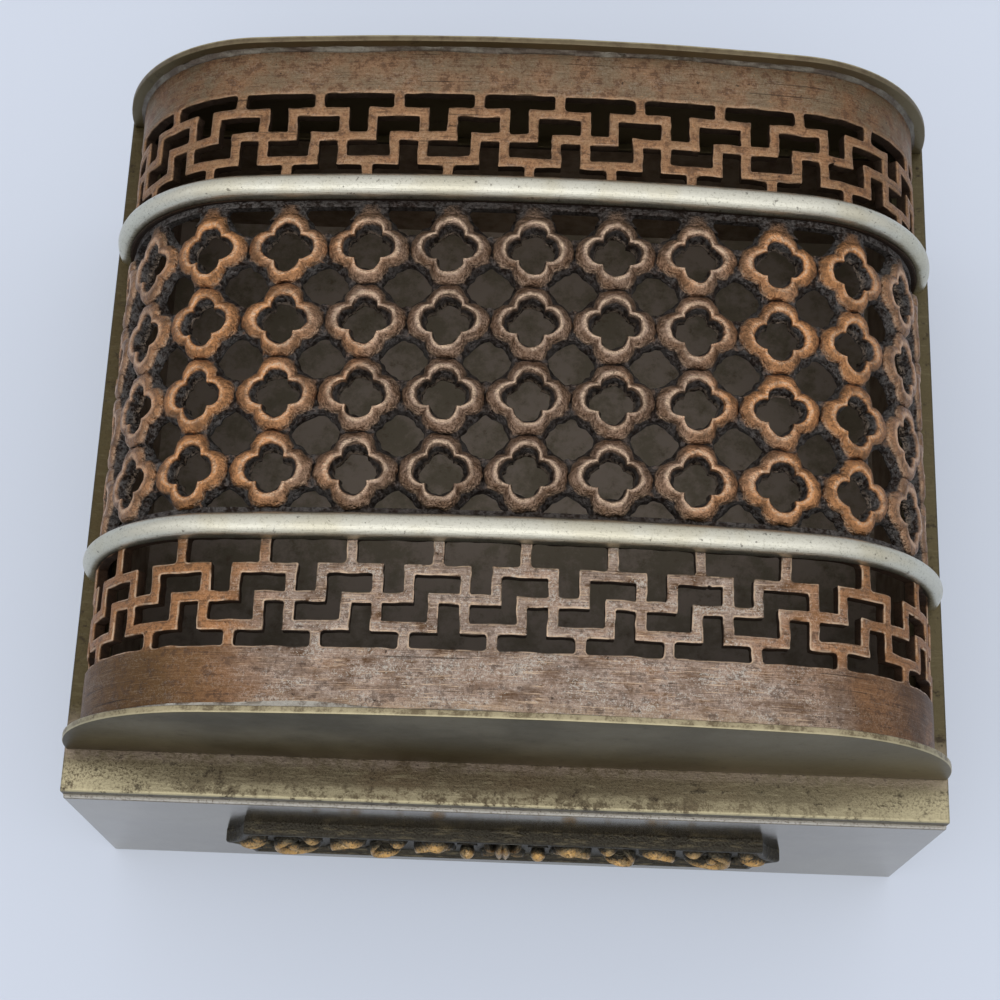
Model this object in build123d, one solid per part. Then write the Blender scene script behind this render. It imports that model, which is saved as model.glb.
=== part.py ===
"""Hinged trinket box: plain brass box with a pierced, loaf-shaped copper lid.

Frame: millimetres, +X to the right, +Y to the back, +Z up.
The origin is on the table under the middle of the lid's flange.
While a piece is drawn, Y is measured back from the front edge of that flange.
"""
from build123d import *
from math import atan2, ceil, cos, floor, pi, radians, sin
import os

# Box body
box_width = 115.0
wall_height = 38.5
wall_t = 1.0
floor_t = 1.0
front_proud = 0.5          # the front wall stands this far in front of the lid
edge_break = 0.25          # small bevel along the seam between box and lid

# Lid flange: a flat frame with its edge turned down onto the walls
flange_t = 0.9
flange_edge = 2.2          # full height of the flange's edge
rim_t = 0.9
seat_lip = 1.0             # flange left standing inside the foot of the dome

# Outline of the end plates, which is also the outline of the dome
dome_side_margin = 0.3     # flange left outside the foot of each end plate
dome_height = 25.6
crown_bulge = 2.0          # the crown rises this far above the tops of the shoulder arcs
shoulder_rise = 0.6        # height of the shoulder arc's centre above the flange
plate_t = 0.9
plate_proud = 2.0          # the end plates stand this far outside the copper

# Copper of the dome
copper_t = 1.5
lattice_raise = 0.8        # the cast lattice stands above the fret sheets

# Depth of the lid, piece after piece from front to back
front_margin = 5.5
front_strip = 7.9
front_fret_low = 6.35      # from the plain strip to the middle line of the fret
front_fret_high = 7.25     # from there to the band
band_width = 3.4
front_row_gap = 5.8        # from the band to the middle of the first row
row_pitch = 10.25
row_count = 4
rear_row_gap = 7.05
rear_fret_low = 6.2
rear_fret_high = 6.45
rear_strip = 6.75
rear_margin = 5.5

# Half-round bands
band_height = 2.0
band_round = 1.6

# Key fret
fret_pitch = 10.72
fret_bar = 1.2
fret_arm = 3.65            # from the middle line to the middle of the outer bars
fret_stem = 2.55           # clear width of the stem of each T-shaped hole
front_fret_shift = -5.7
rear_fret_shift = -3.1
foot_border = 1.0          # plain copper left along the foot of the dome

# Quatrefoil lattice
column_pitch = 10.55
column_shift = 1.2
opening_lobe_r = 1.95
opening_lobe_out = 1.15
ring_lobe_r = 2.95
ring_lobe_out = 2.2
gap_reach_x = 3.6          # the gaps between the rings end this far from their middle
gap_reach_y = 3.4
band_border = 0.9          # plain copper left along each band

# Plaque on the front wall. Its length follows from the ornament on it.
plaque_height = 14.0
plaque_middle_z = 19.4
plaque_base_t = 0.9
plaque_frame_t = 1.75
plaque_frame_width = 1.3
plaque_point = 3.2         # how far each end runs out to its point
plaque_end_gap = 0.4
relief_t = 3.1             # from the wall to the flat of the scrolls
scroll_band = 1.1
scroll_radii = (3.0, 2.2, 3.0, 4.2)
scroll_turn = 230.0
scroll_lap = 0.4           # neighbours run into each other by this much
boss_x = 4.65
boss_r = 1.15
boss_gap = 1.0
leaf_length = 4.8
leaf_height = 3.4
middle_leaf_width = 2.6
middle_leaf_height = 7.0
middle_foot_width = 6.4
middle_foot_height = 2.2

# Hinge
hinge_length = 70.0
knuckle_count = 5
knuckle_r = 1.5
knuckle_gap = 0.1
hinge_leaf_t = 0.8
hinge_leaf_drop = 10.0
strap_clearance = 1.3      # between the lid's strap and the rear end plate
pin_r = 0.7
pin_clearance = 0.05
pin_head_r = 1.05
pin_head_t = 0.4
swing_clearance = 0.3
open_angle = 105.0
stop_reach = 3.0
stop_t = 0.75
stop_gap = 0.05

# Insets from the dome's outline
copper_inset = plate_proud
inner_inset = plate_proud + copper_t
lattice_inset = plate_proud - lattice_raise
band_inset = plate_proud - band_height

# Places in depth
front_plate_y = front_margin
front_copper_y = front_plate_y + plate_t
front_fret_y = front_copper_y + front_strip + front_fret_low
front_band_y = front_fret_y + front_fret_high
lattice_y = front_band_y + band_width
first_row_y = lattice_y + front_row_gap
last_row_y = first_row_y + (row_count - 1) * row_pitch
rear_band_y = last_row_y + rear_row_gap
rear_fret_y = rear_band_y + band_width + rear_fret_low
rear_plate_y = rear_fret_y + rear_fret_high + rear_strip
lid_depth = rear_plate_y + plate_t + rear_margin
middle_y = lid_depth / 2
box_front_y = -front_proud
box_back_y = lid_depth

# Places in width and height
half_width = box_width / 2
inner_half_width = half_width - wall_t
rim_z = wall_height
flange_z = rim_z + flange_edge

# Hinge axis, just behind the back wall and level with the seam
axis_y = box_back_y + knuckle_r + swing_clearance
axis_z = rim_z

# Crown arc of the dome, tangent to both shoulder arcs
dome_half_width = half_width - dome_side_margin
crown_rise = dome_height - shoulder_rise
shoulder_r = crown_rise - crown_bulge
shoulder_x = dome_half_width - shoulder_r
crown_r = (shoulder_x**2 + crown_rise**2 - shoulder_r**2) / (2 * crown_bulge)
crown_z = dome_height - crown_r
crown_angle = atan2(shoulder_x, shoulder_rise - crown_z)

# Middles of the scrolls, side by side from the boss outwards
scroll_xs = []
scroll_end = boss_x + boss_r + boss_gap
for scroll_r in scroll_radii:
    scroll_xs.append(scroll_end + scroll_r)
    scroll_end += 2 * scroll_r - scroll_lap
leaf_x = scroll_end + leaf_length / 2
plaque_half_length = scroll_end + leaf_length + plaque_end_gap


def block(x0, x1, y0, y1, z0, z1):
    """Box between two corners."""
    centre = ((x0 + x1) / 2, (y0 + y1) / 2, (z0 + z1) / 2)
    return Pos(*centre) * Box(x1 - x0, y1 - y0, z1 - z0)


def slab(profile, y0, y1):
    """Profile drawn in X and Z, run from y0 to y1."""
    return extrude(Plane.XZ.offset(-y0) * profile, -(y1 - y0))


def outline(points):
    """Face with straight edges."""
    return make_face(Polyline(*points, close=True))


def dome_point(inset, angle):
    """Point of the dome's outline, inset, at an angle from straight up."""
    if abs(angle) <= crown_angle:
        reach = crown_r - inset
        return (reach * sin(angle), flange_z + crown_z + reach * cos(angle))
    reach = shoulder_r - inset
    side = 1 if angle > 0 else -1
    x = side * shoulder_x + reach * sin(angle)
    return (x, flange_z + shoulder_rise + reach * cos(angle))


def dome_profile(inset):
    """Closed outline of the dome, down to the top of the flange."""
    foot = dome_half_width - inset
    middle_angle = (crown_angle + pi / 2) / 2
    right = [dome_point(inset, a) for a in (crown_angle, middle_angle, pi / 2)]
    left = [(-x, z) for x, z in right]
    edges = [
        Line((-foot, flange_z), (foot, flange_z)),
        Line((foot, flange_z), right[2]),
        ThreePointArc(right[2], right[1], right[0]),
        ThreePointArc(right[0], dome_point(inset, 0), left[0]),
        ThreePointArc(left[0], left[1], left[2]),
        Line(left[2], (-foot, flange_z)),
    ]
    return make_face(edges)


def dome_shell(outer, inner, y0, y1):
    """Open arch between two insets of the dome's outline."""
    return slab(dome_profile(outer), y0, y1) - slab(dome_profile(inner), y0, y1)


def crown_length(inset):
    """Length of the outline from the middle to the end of the crown arc."""
    return (crown_r - inset) * crown_angle


def shoulder_length(inset):
    """Length of one shoulder arc of the outline."""
    return (shoulder_r - inset) * (pi / 2 - crown_angle)


def half_girth(inset):
    """Length of the outline from the middle down to the flange."""
    return crown_length(inset) + shoulder_length(inset) + shoulder_rise


def dome_plane(inset, along, y):
    """Plane that lies on the dome, at a length along its outline from the middle."""
    side = 1 if along >= 0 else -1
    past_crown = abs(along) - crown_length(inset)
    past_shoulder = past_crown - shoulder_length(inset)
    if past_crown <= 0:
        angle = abs(along) / (crown_r - inset)
    else:
        angle = min(crown_angle + past_crown / (shoulder_r - inset), pi / 2)
    tilt = side * angle
    x, z = dome_point(inset, tilt)
    origin = (x, y, z - max(past_shoulder, 0))
    return Plane(origin, x_dir=(cos(tilt), 0, -sin(tilt)), z_dir=(sin(tilt), 0, cos(tilt)))


def pierce(shell, inset, holes):
    """Cut holes square to the dome's surface. Each is (sketch, along, y)."""
    depth = 2 * (copper_t + lattice_raise)
    cutters = []
    for sketch, along, y in holes:
        start = dome_plane(inset, along, y).offset(-depth)
        cutters.append(extrude(start * sketch, 2 * depth))
    return shell - cutters


def clear_of_foot(sketch, along, limit):
    """Keep a hole's sketch clear of the foot of the dome, on both sides."""
    return sketch & (Pos(-along, 0) * Rectangle(2 * limit, 2 * lid_depth))


def fret_step_hole():
    """Stepped hole between two long bars, about its own middle."""
    bar = fret_bar / 2
    wide = fret_pitch / 2 - bar
    step = fret_pitch / 2 - fret_stem - fret_bar
    arm = fret_arm - bar
    points = [
        (-wide, -arm), (step - bar, -arm), (step - bar, bar), (wide, bar),
        (wide, arm), (bar - step, arm), (bar - step, -bar), (-wide, -bar),
    ]
    return outline(points)


def fret_tee_hole(reach):
    """T-shaped hole between two stubs, from the middle line out to a plain edge."""
    bar = fret_bar / 2
    stem = fret_stem / 2
    head = fret_pitch / 2 - bar
    arm = fret_arm + bar
    points = [
        (-stem, bar), (stem, bar), (stem, arm), (head, arm),
        (head, reach), (-head, reach), (-head, arm), (-stem, arm),
    ]
    return outline(points)


def fret_holes(shift, y, low_reach, high_reach):
    """Every hole of one key fret."""
    limit = half_girth(copper_inset) - foot_border
    stem_x = (fret_stem + fret_bar) / 2
    shapes = [
        (fret_step_hole(), fret_pitch / 2),
        (fret_tee_hole(high_reach), stem_x),
        (Rot(0, 0, 180) * fret_tee_hole(low_reach), fret_pitch - stem_x),
    ]
    turns = ceil(limit / fret_pitch) + 1
    holes = []
    for turn in range(-turns, turns + 1):
        for shape, offset in shapes:
            along = shift + turn * fret_pitch + offset
            if abs(along) < limit + fret_pitch / 2:
                hole = clear_of_foot(shape, along, limit)
                if hole.area > fret_bar**2:
                    holes.append((hole, along, y))
    return holes


def quatrefoil(lobe_r, lobe_out):
    """Four round lobes about a middle."""
    sketch = Sketch()
    for dx, dy in ((1, 0), (-1, 0), (0, 1), (0, -1)):
        sketch += Pos(dx * lobe_out, dy * lobe_out) * Circle(lobe_r)
    return sketch


def ring_gap():
    """Star-shaped gap between four quatrefoil rings."""
    ring = quatrefoil(ring_lobe_r, ring_lobe_out)
    gap = Rectangle(2 * gap_reach_x, 2 * gap_reach_y)
    for dx in (-1, 1):
        for dy in (-1, 1):
            gap -= Pos(dx * column_pitch / 2, dy * row_pitch / 2) * ring
    return gap


def opening_column():
    """The openings of one column of quatrefoils, from the first row up."""
    opening = quatrefoil(opening_lobe_r, opening_lobe_out)
    return Sketch() + [Pos(0, row * row_pitch) * opening for row in range(row_count)]


def gap_column():
    """The gaps between two columns, cut short along both bands."""
    gap = ring_gap()
    gaps = Sketch() + [Pos(0, (row + 0.5) * row_pitch) * gap for row in range(-1, row_count)]
    low = lattice_y + band_border - first_row_y
    high = rear_band_y - band_border - first_row_y
    return gaps & (Pos(0, (low + high) / 2) * Rectangle(column_pitch, high - low))


def lattice_holes():
    """Openings of the quatrefoils and the gaps between them, column by column."""
    limit = half_girth(lattice_inset) - foot_border
    reach = opening_lobe_r + opening_lobe_out + abs(column_shift)
    side = floor((limit - reach) / column_pitch)
    openings = opening_column()
    gaps = gap_column()
    holes = []
    for column in range(-side, side + 1):
        holes.append((openings, column_shift + column * column_pitch, first_row_y))
    for column in range(-side - 1, side + 1):
        along = column_shift + (column + 0.5) * column_pitch
        hole = clear_of_foot(gaps, along, limit)
        if hole.area > row_count * band_border**2:
            holes.append((hole, along, first_row_y))
    return holes


def front_wall():
    wall = block(-half_width, half_width, box_front_y, box_front_y + wall_t, 0, rim_z)
    seam = wall.edges().filter_by(Axis.X).group_by(Axis.Z)[-1].sort_by(Axis.Y)[0]
    return chamfer(seam, edge_break)


def back_wall():
    return block(-half_width, half_width, box_back_y - wall_t, box_back_y, 0, rim_z)


def side_wall(side):
    """Left wall for side -1, right wall for side 1."""
    x0, x1 = sorted((side * inner_half_width, side * half_width))
    wall = block(x0, x1, box_front_y + wall_t, box_back_y - wall_t, 0, rim_z)
    seam = wall.edges().filter_by(Axis.Y).group_by(Axis.Z)[-1].sort_by(Axis.X)
    return chamfer(seam[-1] if side > 0 else seam[0], edge_break)


def floor_plate():
    y0 = box_front_y + wall_t
    return block(-inner_half_width, inner_half_width, y0, box_back_y - wall_t, 0, floor_t)


def plaque_outline(inset):
    """Long plaque, each end drawn out to a point between two hollow curves."""
    length = plaque_half_length - inset
    tip = plaque_half_length + plaque_point - 1.5 * inset
    half = plaque_height / 2 - inset
    hollow = (length + (tip - length) * 0.25, half * 0.45)
    edges = []
    for side in (1, -1):
        corner, point, foot = (side * length, side * half), (side * tip, 0), (side * length, -side * half)
        edges.append(ThreePointArc(corner, (side * hollow[0], side * hollow[1]), point))
        edges.append(ThreePointArc(point, (side * hollow[0], -side * hollow[1]), foot))
        edges.append(Line(foot, (-side * length, -side * half)))
    return make_face(edges)


def scroll(radius):
    """C-shaped scroll that opens downwards, about its own middle."""
    gap = radians(360 - scroll_turn) / 2
    far = 2 * radius
    mouth = outline([(0, 0), (-far * sin(gap), -far * cos(gap)), (far * sin(gap), -far * cos(gap))])
    return Circle(radius) - Circle(radius - scroll_band) - mouth


def plaque_relief():
    """Flat shapes of the ornament: a middle leaf, then scrolls and a leaf on each side."""
    relief = Ellipse(middle_leaf_width / 2, middle_leaf_height / 2)
    relief += Pos(0, -middle_leaf_height / 4) * Ellipse(middle_foot_width / 2, middle_foot_height / 2)
    for side in (1, -1):
        for x, radius in zip(scroll_xs, scroll_radii):
            relief += Pos(side * x, 0) * scroll(radius)
        relief += Pos(side * leaf_x, 0) * Ellipse(leaf_length / 2, leaf_height / 2)
    return relief


def front_plaque():
    """Cast plaque: a field with a raised frame, scrolls and two round bosses."""
    up = Pos(0, plaque_middle_z)
    back = box_front_y
    frame = plaque_outline(0) - plaque_outline(plaque_frame_width)
    plaque = slab(up * plaque_outline(0), back - plaque_base_t, back)
    plaque += slab(up * frame, back - plaque_frame_t, back)
    plaque += slab(up * plaque_relief(), back - relief_t, back)
    for side in (1, -1):
        plaque += Pos(side * boss_x, back - relief_t + boss_r * 0.8, plaque_middle_z) * Sphere(boss_r)
    return plaque


def lid_flange():
    """Flat frame under the dome, with its edge turned down onto the walls."""
    plate_z = flange_z - flange_t
    inner = half_width - rim_t
    mouth = dome_half_width - inner_inset - seat_lip
    flange = block(-half_width, half_width, 0, lid_depth, rim_z, flange_z)
    flange -= block(-inner, inner, rim_t, lid_depth - rim_t, rim_z, plate_z)
    flange -= block(-mouth, mouth, front_copper_y + seat_lip, rear_plate_y - seat_lip, plate_z, flange_z)
    top = flange.faces().sort_by(Axis.Z)[-1]
    return chamfer(top.outer_wire().edges(), edge_break)


def end_plate(y0):
    """D-shaped plate that closes one end of the dome."""
    return slab(dome_profile(0), y0, y0 + plate_t)


def front_fret_sheet():
    """Front plain strip and key fret, which run on under the front band."""
    shell = dome_shell(copper_inset, inner_inset, front_copper_y, lattice_y)
    holes = fret_holes(front_fret_shift, front_fret_y, front_fret_low, front_fret_high)
    return pierce(shell, copper_inset, holes)


def rear_fret_sheet():
    """Rear key fret and plain strip, which start under the rear band."""
    shell = dome_shell(copper_inset, inner_inset, rear_band_y, rear_plate_y)
    holes = fret_holes(rear_fret_shift, rear_fret_y, rear_fret_low, rear_fret_high)
    return pierce(shell, copper_inset, holes)


def lattice_panel():
    shell = dome_shell(lattice_inset, inner_inset, lattice_y, rear_band_y)
    return pierce(shell, lattice_inset, lattice_holes())


def band(y0):
    """Half-round strip over the joint between a fret sheet and the lattice."""
    y1 = y0 + band_width
    strip = slab(dome_profile(band_inset), y0, y1)
    by_depth = strip.edges().group_by(Axis.Y)
    outer = [edge for edge in by_depth[0] + by_depth[-1] if edge.center().Z > flange_z]
    strip = fillet(outer, min(band_round, 0.49 * band_width))
    return strip - slab(dome_profile(copper_inset), y0, y1)


def along_axis(shape):
    """Turn a shape drawn about Z onto the hinge axis, at the middle of the box."""
    return Pos(0, axis_y, axis_z) * Rot(0, 90, 0) * shape


def knuckle_span(index):
    """Ends in X of one knuckle of the hinge."""
    length = hinge_length / knuckle_count
    start = -hinge_length / 2 + index * length
    return start + knuckle_gap / 2, start + length - knuckle_gap / 2


def knuckle(index):
    x0, x1 = knuckle_span(index)
    return Pos((x0 + x1) / 2, 0, 0) * along_axis(Cylinder(knuckle_r, x1 - x0))


def pin_bore():
    return along_axis(Cylinder(pin_r + pin_clearance, 2 * hinge_length))


def body_hinge_leaf():
    """Leaf on the back wall, with the knuckles at the ends and in the middle."""
    half = hinge_length / 2
    y0, y1 = box_back_y, box_back_y + hinge_leaf_t
    leaf = block(-half, half, y0, y1, axis_z - hinge_leaf_drop, axis_z)
    for index in range(1, knuckle_count, 2):
        x0, x1 = knuckle_span(index)
        notch_z = axis_z - knuckle_r - swing_clearance
        leaf -= block(x0 - knuckle_gap, x1 + knuckle_gap, y0, y1, notch_z, axis_z)
    for index in range(0, knuckle_count, 2):
        leaf += knuckle(index)
    return leaf - pin_bore()


def lid_hinge_leaf():
    """Strap on the flange, with tongues down to its own knuckles and their stop lips."""
    half = hinge_length / 2
    y1 = lid_depth + hinge_leaf_t
    strap_y = rear_plate_y + plate_t + strap_clearance
    leaf = block(-half, half, strap_y, y1, flange_z, flange_z + hinge_leaf_t)
    for index in range(1, knuckle_count, 2):
        x0, x1 = knuckle_span(index)
        leaf += block(x0, x1, lid_depth, y1, axis_z, flange_z)
        leaf += knuckle(index)
        leaf += stop_lip(x0, x1)
    return leaf - pin_bore()


def stop_lip(x0, x1):
    """Lip behind a knuckle, which meets the body's leaf when the lid is fully open."""
    face = axis_y - box_back_y - hinge_leaf_t - stop_gap
    root = (knuckle_r + pin_r) / 2
    lip = block(x0, x1, root, stop_reach, -face, stop_t - face)
    return Pos(0, axis_y, axis_z) * Rot(open_angle - 90, 0, 0) * lip


def hinge_pin():
    """Pin with a small peened head at each end."""
    pin = along_axis(Cylinder(pin_r, hinge_length + 2 * pin_head_t))
    for side in (1, -1):
        x = side * (hinge_length + pin_head_t) / 2
        pin += Pos(x, 0, 0) * along_axis(Cylinder(pin_head_r, pin_head_t))
    return pin


def save(name, shape):
    """Write one sub-part, moved so that the origin is under the middle of the lid."""
    export_step(Pos(0, -middle_y, 0) * shape, f"parts/{name}.step")


os.makedirs("parts", exist_ok=True)
save("floor_plate", floor_plate())
save("front_wall", front_wall())
save("back_wall", back_wall())
save("left_wall", side_wall(-1))
save("right_wall", side_wall(1))
save("front_plaque", front_plaque())
save("body_hinge_leaf", body_hinge_leaf())
save("hinge_pin", hinge_pin())
save("lid_flange", lid_flange())
save("lid_hinge_leaf", lid_hinge_leaf())
save("front_end_plate", end_plate(front_plate_y))
save("rear_end_plate", end_plate(rear_plate_y))
save("front_fret_sheet", front_fret_sheet())
save("rear_fret_sheet", rear_fret_sheet())
save("lattice_panel", lattice_panel())
save("front_band", band(front_band_y))
save("rear_band", band(rear_band_y))
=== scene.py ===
"""Looks of the trinket box: pierced copper lid, silvery bands, brass plates, plaque and hinge.

Places are in metres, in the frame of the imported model: +X right, +Y back, +Z up, origin on the table.
Sizes are in metres too, or in mm where a docstring says so. The copper pieces are drawn flat first: X
runs along the dome's outline from its middle, Y back and Z off the copper. They are then bent over the dome.
"""

from math import atan2, cos, exp, hypot, pi, radians, sin, sqrt

import bmesh
import bpy
import numpy as np
from bpy.props import FloatProperty, FloatVectorProperty, IntProperty, PointerProperty
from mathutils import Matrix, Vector


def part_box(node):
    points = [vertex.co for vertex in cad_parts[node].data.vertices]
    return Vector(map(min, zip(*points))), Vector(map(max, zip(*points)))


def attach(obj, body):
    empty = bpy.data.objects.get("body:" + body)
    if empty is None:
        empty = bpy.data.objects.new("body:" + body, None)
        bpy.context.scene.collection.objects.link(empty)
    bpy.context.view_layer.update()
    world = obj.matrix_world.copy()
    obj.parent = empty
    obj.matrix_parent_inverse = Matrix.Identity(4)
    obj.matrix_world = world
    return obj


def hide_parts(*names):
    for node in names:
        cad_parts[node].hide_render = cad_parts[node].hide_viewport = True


bl_info = {
    "name": "Trinket Box",
    "version": (1, 0, 0),
    "blender": (4, 5, 0),
    "location": "View3D > Sidebar > Trinket Box",
    "description": "Models and finishes the pieces of the trinket box around its packed frame",
    "category": "Object",
}

mm = 0.001
merge_reach = 1e-6

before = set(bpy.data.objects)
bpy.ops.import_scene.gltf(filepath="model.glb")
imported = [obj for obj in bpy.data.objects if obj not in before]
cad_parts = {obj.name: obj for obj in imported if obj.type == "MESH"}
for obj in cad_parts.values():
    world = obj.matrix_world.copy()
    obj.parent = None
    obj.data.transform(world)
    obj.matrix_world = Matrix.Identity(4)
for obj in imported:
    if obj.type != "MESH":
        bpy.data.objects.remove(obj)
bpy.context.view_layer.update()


def srgb(red, green, blue):
    """Linear colour from the usual values out of 255."""
    return tuple(((value / 255 + 0.055) / 1.055) ** 2.4 for value in (red, green, blue))


def length(name, description, default):
    """Size that a user can change, given in mm and kept in metres."""
    return FloatProperty(name=name, description=description, default=default * mm, unit="LENGTH", precision=5)


def amount(name, description, default):
    """Plain number that a user can change."""
    return FloatProperty(name=name, description=description, default=default, min=0)


def colour(name, description, *values):
    """Colour that a user can change."""
    return FloatVectorProperty(name=name, description=description, default=srgb(*values), subtype="COLOR",
                               size=3, min=0, max=1)


class DomeSizes(bpy.types.PropertyGroup):
    crown_bulge: length("Crown bulge", "Rise of the crown above the tops of the shoulder arcs", 2.0)
    shoulder_rise: length("Shoulder rise", "Height of the shoulder arcs' centres above the flange", 0.6)
    plate_proud: length("Plates proud", "How far the end plates stand outside the copper", 2.0)
    copper: length("Copper thickness", "Thickness of the fret sheets", 1.5)
    band_height: length("Band height", "Height of the half-round bands on the copper", 2.0)
    band_tuck: length("Band tuck", "How far the bands sink into the copper at their feet", 0.05)
    solder: length("Solder width", "Width of the solder line along each end plate", 0.7)


class FretSizes(bpy.types.PropertyGroup):
    pitch: length("Pitch", "Distance from one repeat of the key fret to the next", 10.72)
    bar: length("Bar", "Width of the bars", 1.3)
    arm: length("Arm", "From the middle line to the middle of the outer bars", 3.65)
    stem: length("Stem", "Clear width of the stem of each T-shaped hole", 2.5)
    front_low: length("Front, low side", "From the front plain strip to the middle line", 6.35)
    front_high: length("Front, high side", "From the middle line to the front band", 7.25)
    rear_low: length("Rear, low side", "From the rear band to the middle line", 6.2)
    rear_high: length("Rear, high side", "From the middle line to the rear plain strip", 6.45)
    front_shift: length("Front shift", "Sideways place of the front fret", -5.7)
    rear_shift: length("Rear shift", "Sideways place of the rear fret", -3.1)
    foot: length("Foot", "Plain copper along the foot of the dome", 1.0)
    under_band: length("Under the bands", "How far the holes run on under the bands", 0.45)
    corner: length("Corners", "Radius of the corners of the holes", 0.16)
    wear: length("Worn edge", "Width of the rounding along the holes", 0.2)
    grain: length("Mesh step", "Distance between the lines of the mesh", 0.27)


class LatticeSizes(bpy.types.PropertyGroup):
    column_pitch: length("Column pitch", "Distance from one column of rings to the next", 10.7)
    row_pitch: length("Row pitch", "Distance from one row of rings to the next", 10.25)
    columns: IntProperty(name="Columns", description="Rings across the dome", default=13, min=1)
    rows: IntProperty(name="Rows", description="Rings from front to back", default=4, min=1)
    shift: length("Sideways shift", "Place of the middle column", 1.2)
    front_gap: length("Front gap", "From the front band to the middle of the first row", 5.8)
    crest: length("Crest", "Height of the rings above the fret sheets", 0.8)
    groove: length("Groove", "Depth of the grooves where rings meet, below the fret sheets' top", 0.45)
    outer_r: length("Outer lobe radius", "Radius of the lobes outside a ring", 2.6)
    outer_out: length("Outer lobe offset", "Distance of those lobes from the middle", 2.62)
    crest_r: length("Brink lobe radius", "Radius of the lobes of a ring's inner brink", 1.65)
    crest_out: length("Brink lobe offset", "Distance of those lobes from the middle", 1.8)
    hole_r: length("Hole lobe radius", "Radius of the lobes of the hole at the bottom", 1.6)
    hole_out: length("Hole lobe offset", "Distance of those lobes from the middle", 1.1)
    tuck: length("Tuck", "How far the casting lies below the fret sheets at its feet", 0.4)
    gap_x: length("Gap half width", "Half the width of the gaps between rings", 3.1)
    gap_y: length("Gap half height", "Half the depth of the gaps between rings", 2.95)


class PlaqueSizes(bpy.types.PropertyGroup):
    frame_width: length("Frame width", "Width of the raised frame", 1.3)
    frame_t: length("Frame height", "From the wall to the top of the frame", 1.75)
    field_t: length("Field height", "From the wall to the field", 0.9)
    point: length("Points", "How far each end runs out to its point", 3.2)
    relief: length("Relief", "From the field to the top of the scrolls", 2.1)


class MetalColours(bpy.types.PropertyGroup):
    copper: colour("Copper", "Rubbed copper of the fret sheets", 142, 106, 76)
    copper_brown: colour("Brown copper", "Darkened copper", 94, 70, 50)
    copper_gold: colour("Golden copper", "Front sheet towards its left end", 108, 82, 52)
    # Darker rear copper: tarnish, and painted shade for the dimmer light at the back.
    copper_olive: colour("Olive copper", "Darkened copper of the rear sheet", 120, 106, 84)
    # Pale copper: rubbed wear, also a painted reflection on the crown.
    copper_pink: colour("Pale copper", "Copper rubbed pale on the crown", 192, 174, 158)
    ring_orange: colour("Ring orange", "Rings on the shoulders", 206, 148, 98)
    ring_brown: colour("Ring brown", "Rings on the crown", 170, 146, 126)
    ring_pale: colour("Ring crest", "Rubbed crests of the rings", 216, 190, 160)
    ring_dark: colour("Ring dark", "Dark grain of the rings", 70, 56, 48)
    # Dark colour of dirt in hollows, also laid as painted shade on hole walls, at the bands' feet, on the
    # flange's front face and on the front of the box floor.
    dirt_and_shade: colour("Recess", "Dirt in the recesses", 48, 40, 35)
    verdigris: colour("Chalk", "Grey crust in the recesses", 118, 117, 114)
    band: colour("Band", "Silvery metal of the bands", 206, 204, 188)
    # Olive dirt colour of the bands, also laid as painted shade along their edges.
    band_grime_and_shade: colour("Band grime", "Grime along the edges of the bands", 104, 98, 72)
    brass: colour("Brass", "Rubbed brass", 186, 176, 142)
    brass_olive: colour("Olive brass", "Tarnished brass", 118, 109, 86)
    flange_olive: colour("Flange", "Tarnished brass of the flange", 110, 100, 79)
    # Dark tarnished brass, also laid as painted shade on the plates' upright faces; it darkens the flange
    # beside the dome too.
    face_tarnish_and_shade: colour("Plate face", "Dark faces of the end plates", 65, 57, 33)
    wall: colour("Wall", "Polished walls of the box", 108, 98, 80)
    plaque_gold: colour("Plaque gold", "High points of the plaque", 192, 152, 94)
    plaque_dark: colour("Plaque dark", "Field of the plaque", 64, 61, 53)
    solder: colour("Solder", "Solder along the plates", 196, 192, 180)
    floor: colour("Box floor", "Dull floor inside the box", 160, 146, 130)


class StageSizes(bpy.types.PropertyGroup):
    camera_place: FloatVectorProperty(name="Camera", description="Place of the camera",
                                      default=(-0.56 * mm, -101.0 * mm, 294.84 * mm), unit="LENGTH", size=3)
    camera_turn: FloatVectorProperty(name="Camera turn", description="Euler angles of the camera",
                                     default=(radians(19.687), radians(-0.386), radians(2.011)),
                                     subtype="EULER", size=3)
    lens: amount("Lens", "Focal length on a 36 mm sensor", 71.41)
    table: colour("Table", "Pale table top", 208, 216, 228)
    glow: amount("Table glow", "Share of its own light in the table that the camera sees", 0.3)
    overhead: amount("Overhead light", "Brightness straight above", 1.14)
    window: amount("Window", "Extra brightness of the window up in front", 0.35)
    level: amount("Level light", "Brightness at eye level", 0.68)


def sizes(group):
    """One of the groups of sizes kept with the scene."""
    return getattr(bpy.context.scene, "trinket_" + group)


def deselect_all():
    bpy.ops.object.select_all(action="DESELECT")


def activate(*pieces):
    """Select these pieces alone, with the first one active."""
    deselect_all()
    for piece in pieces:
        piece.select_set(True)
    bpy.context.view_layer.objects.active = pieces[0]


def take(name):
    """Name the object that was just added, and its mesh."""
    piece = bpy.context.object
    piece.name = name
    piece.data.name = name
    return piece


def modify(piece, kind, **settings):
    """Add one modifier and apply it."""
    modifier = piece.modifiers.new(kind.title(), kind)
    for key, value in settings.items():
        setattr(modifier, key, value)
    activate(piece)
    bpy.ops.object.modifier_apply(modifier=modifier.name)


def begin_edit(piece, mode, action):
    """Enter edit mode in a selection mode, with all or nothing selected."""
    activate(piece)
    bpy.ops.object.mode_set(mode="EDIT")
    bpy.ops.mesh.select_mode(type=mode)
    bpy.ops.mesh.select_all(action=action)


def end_edit():
    bpy.ops.object.mode_set(mode="OBJECT")


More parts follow.
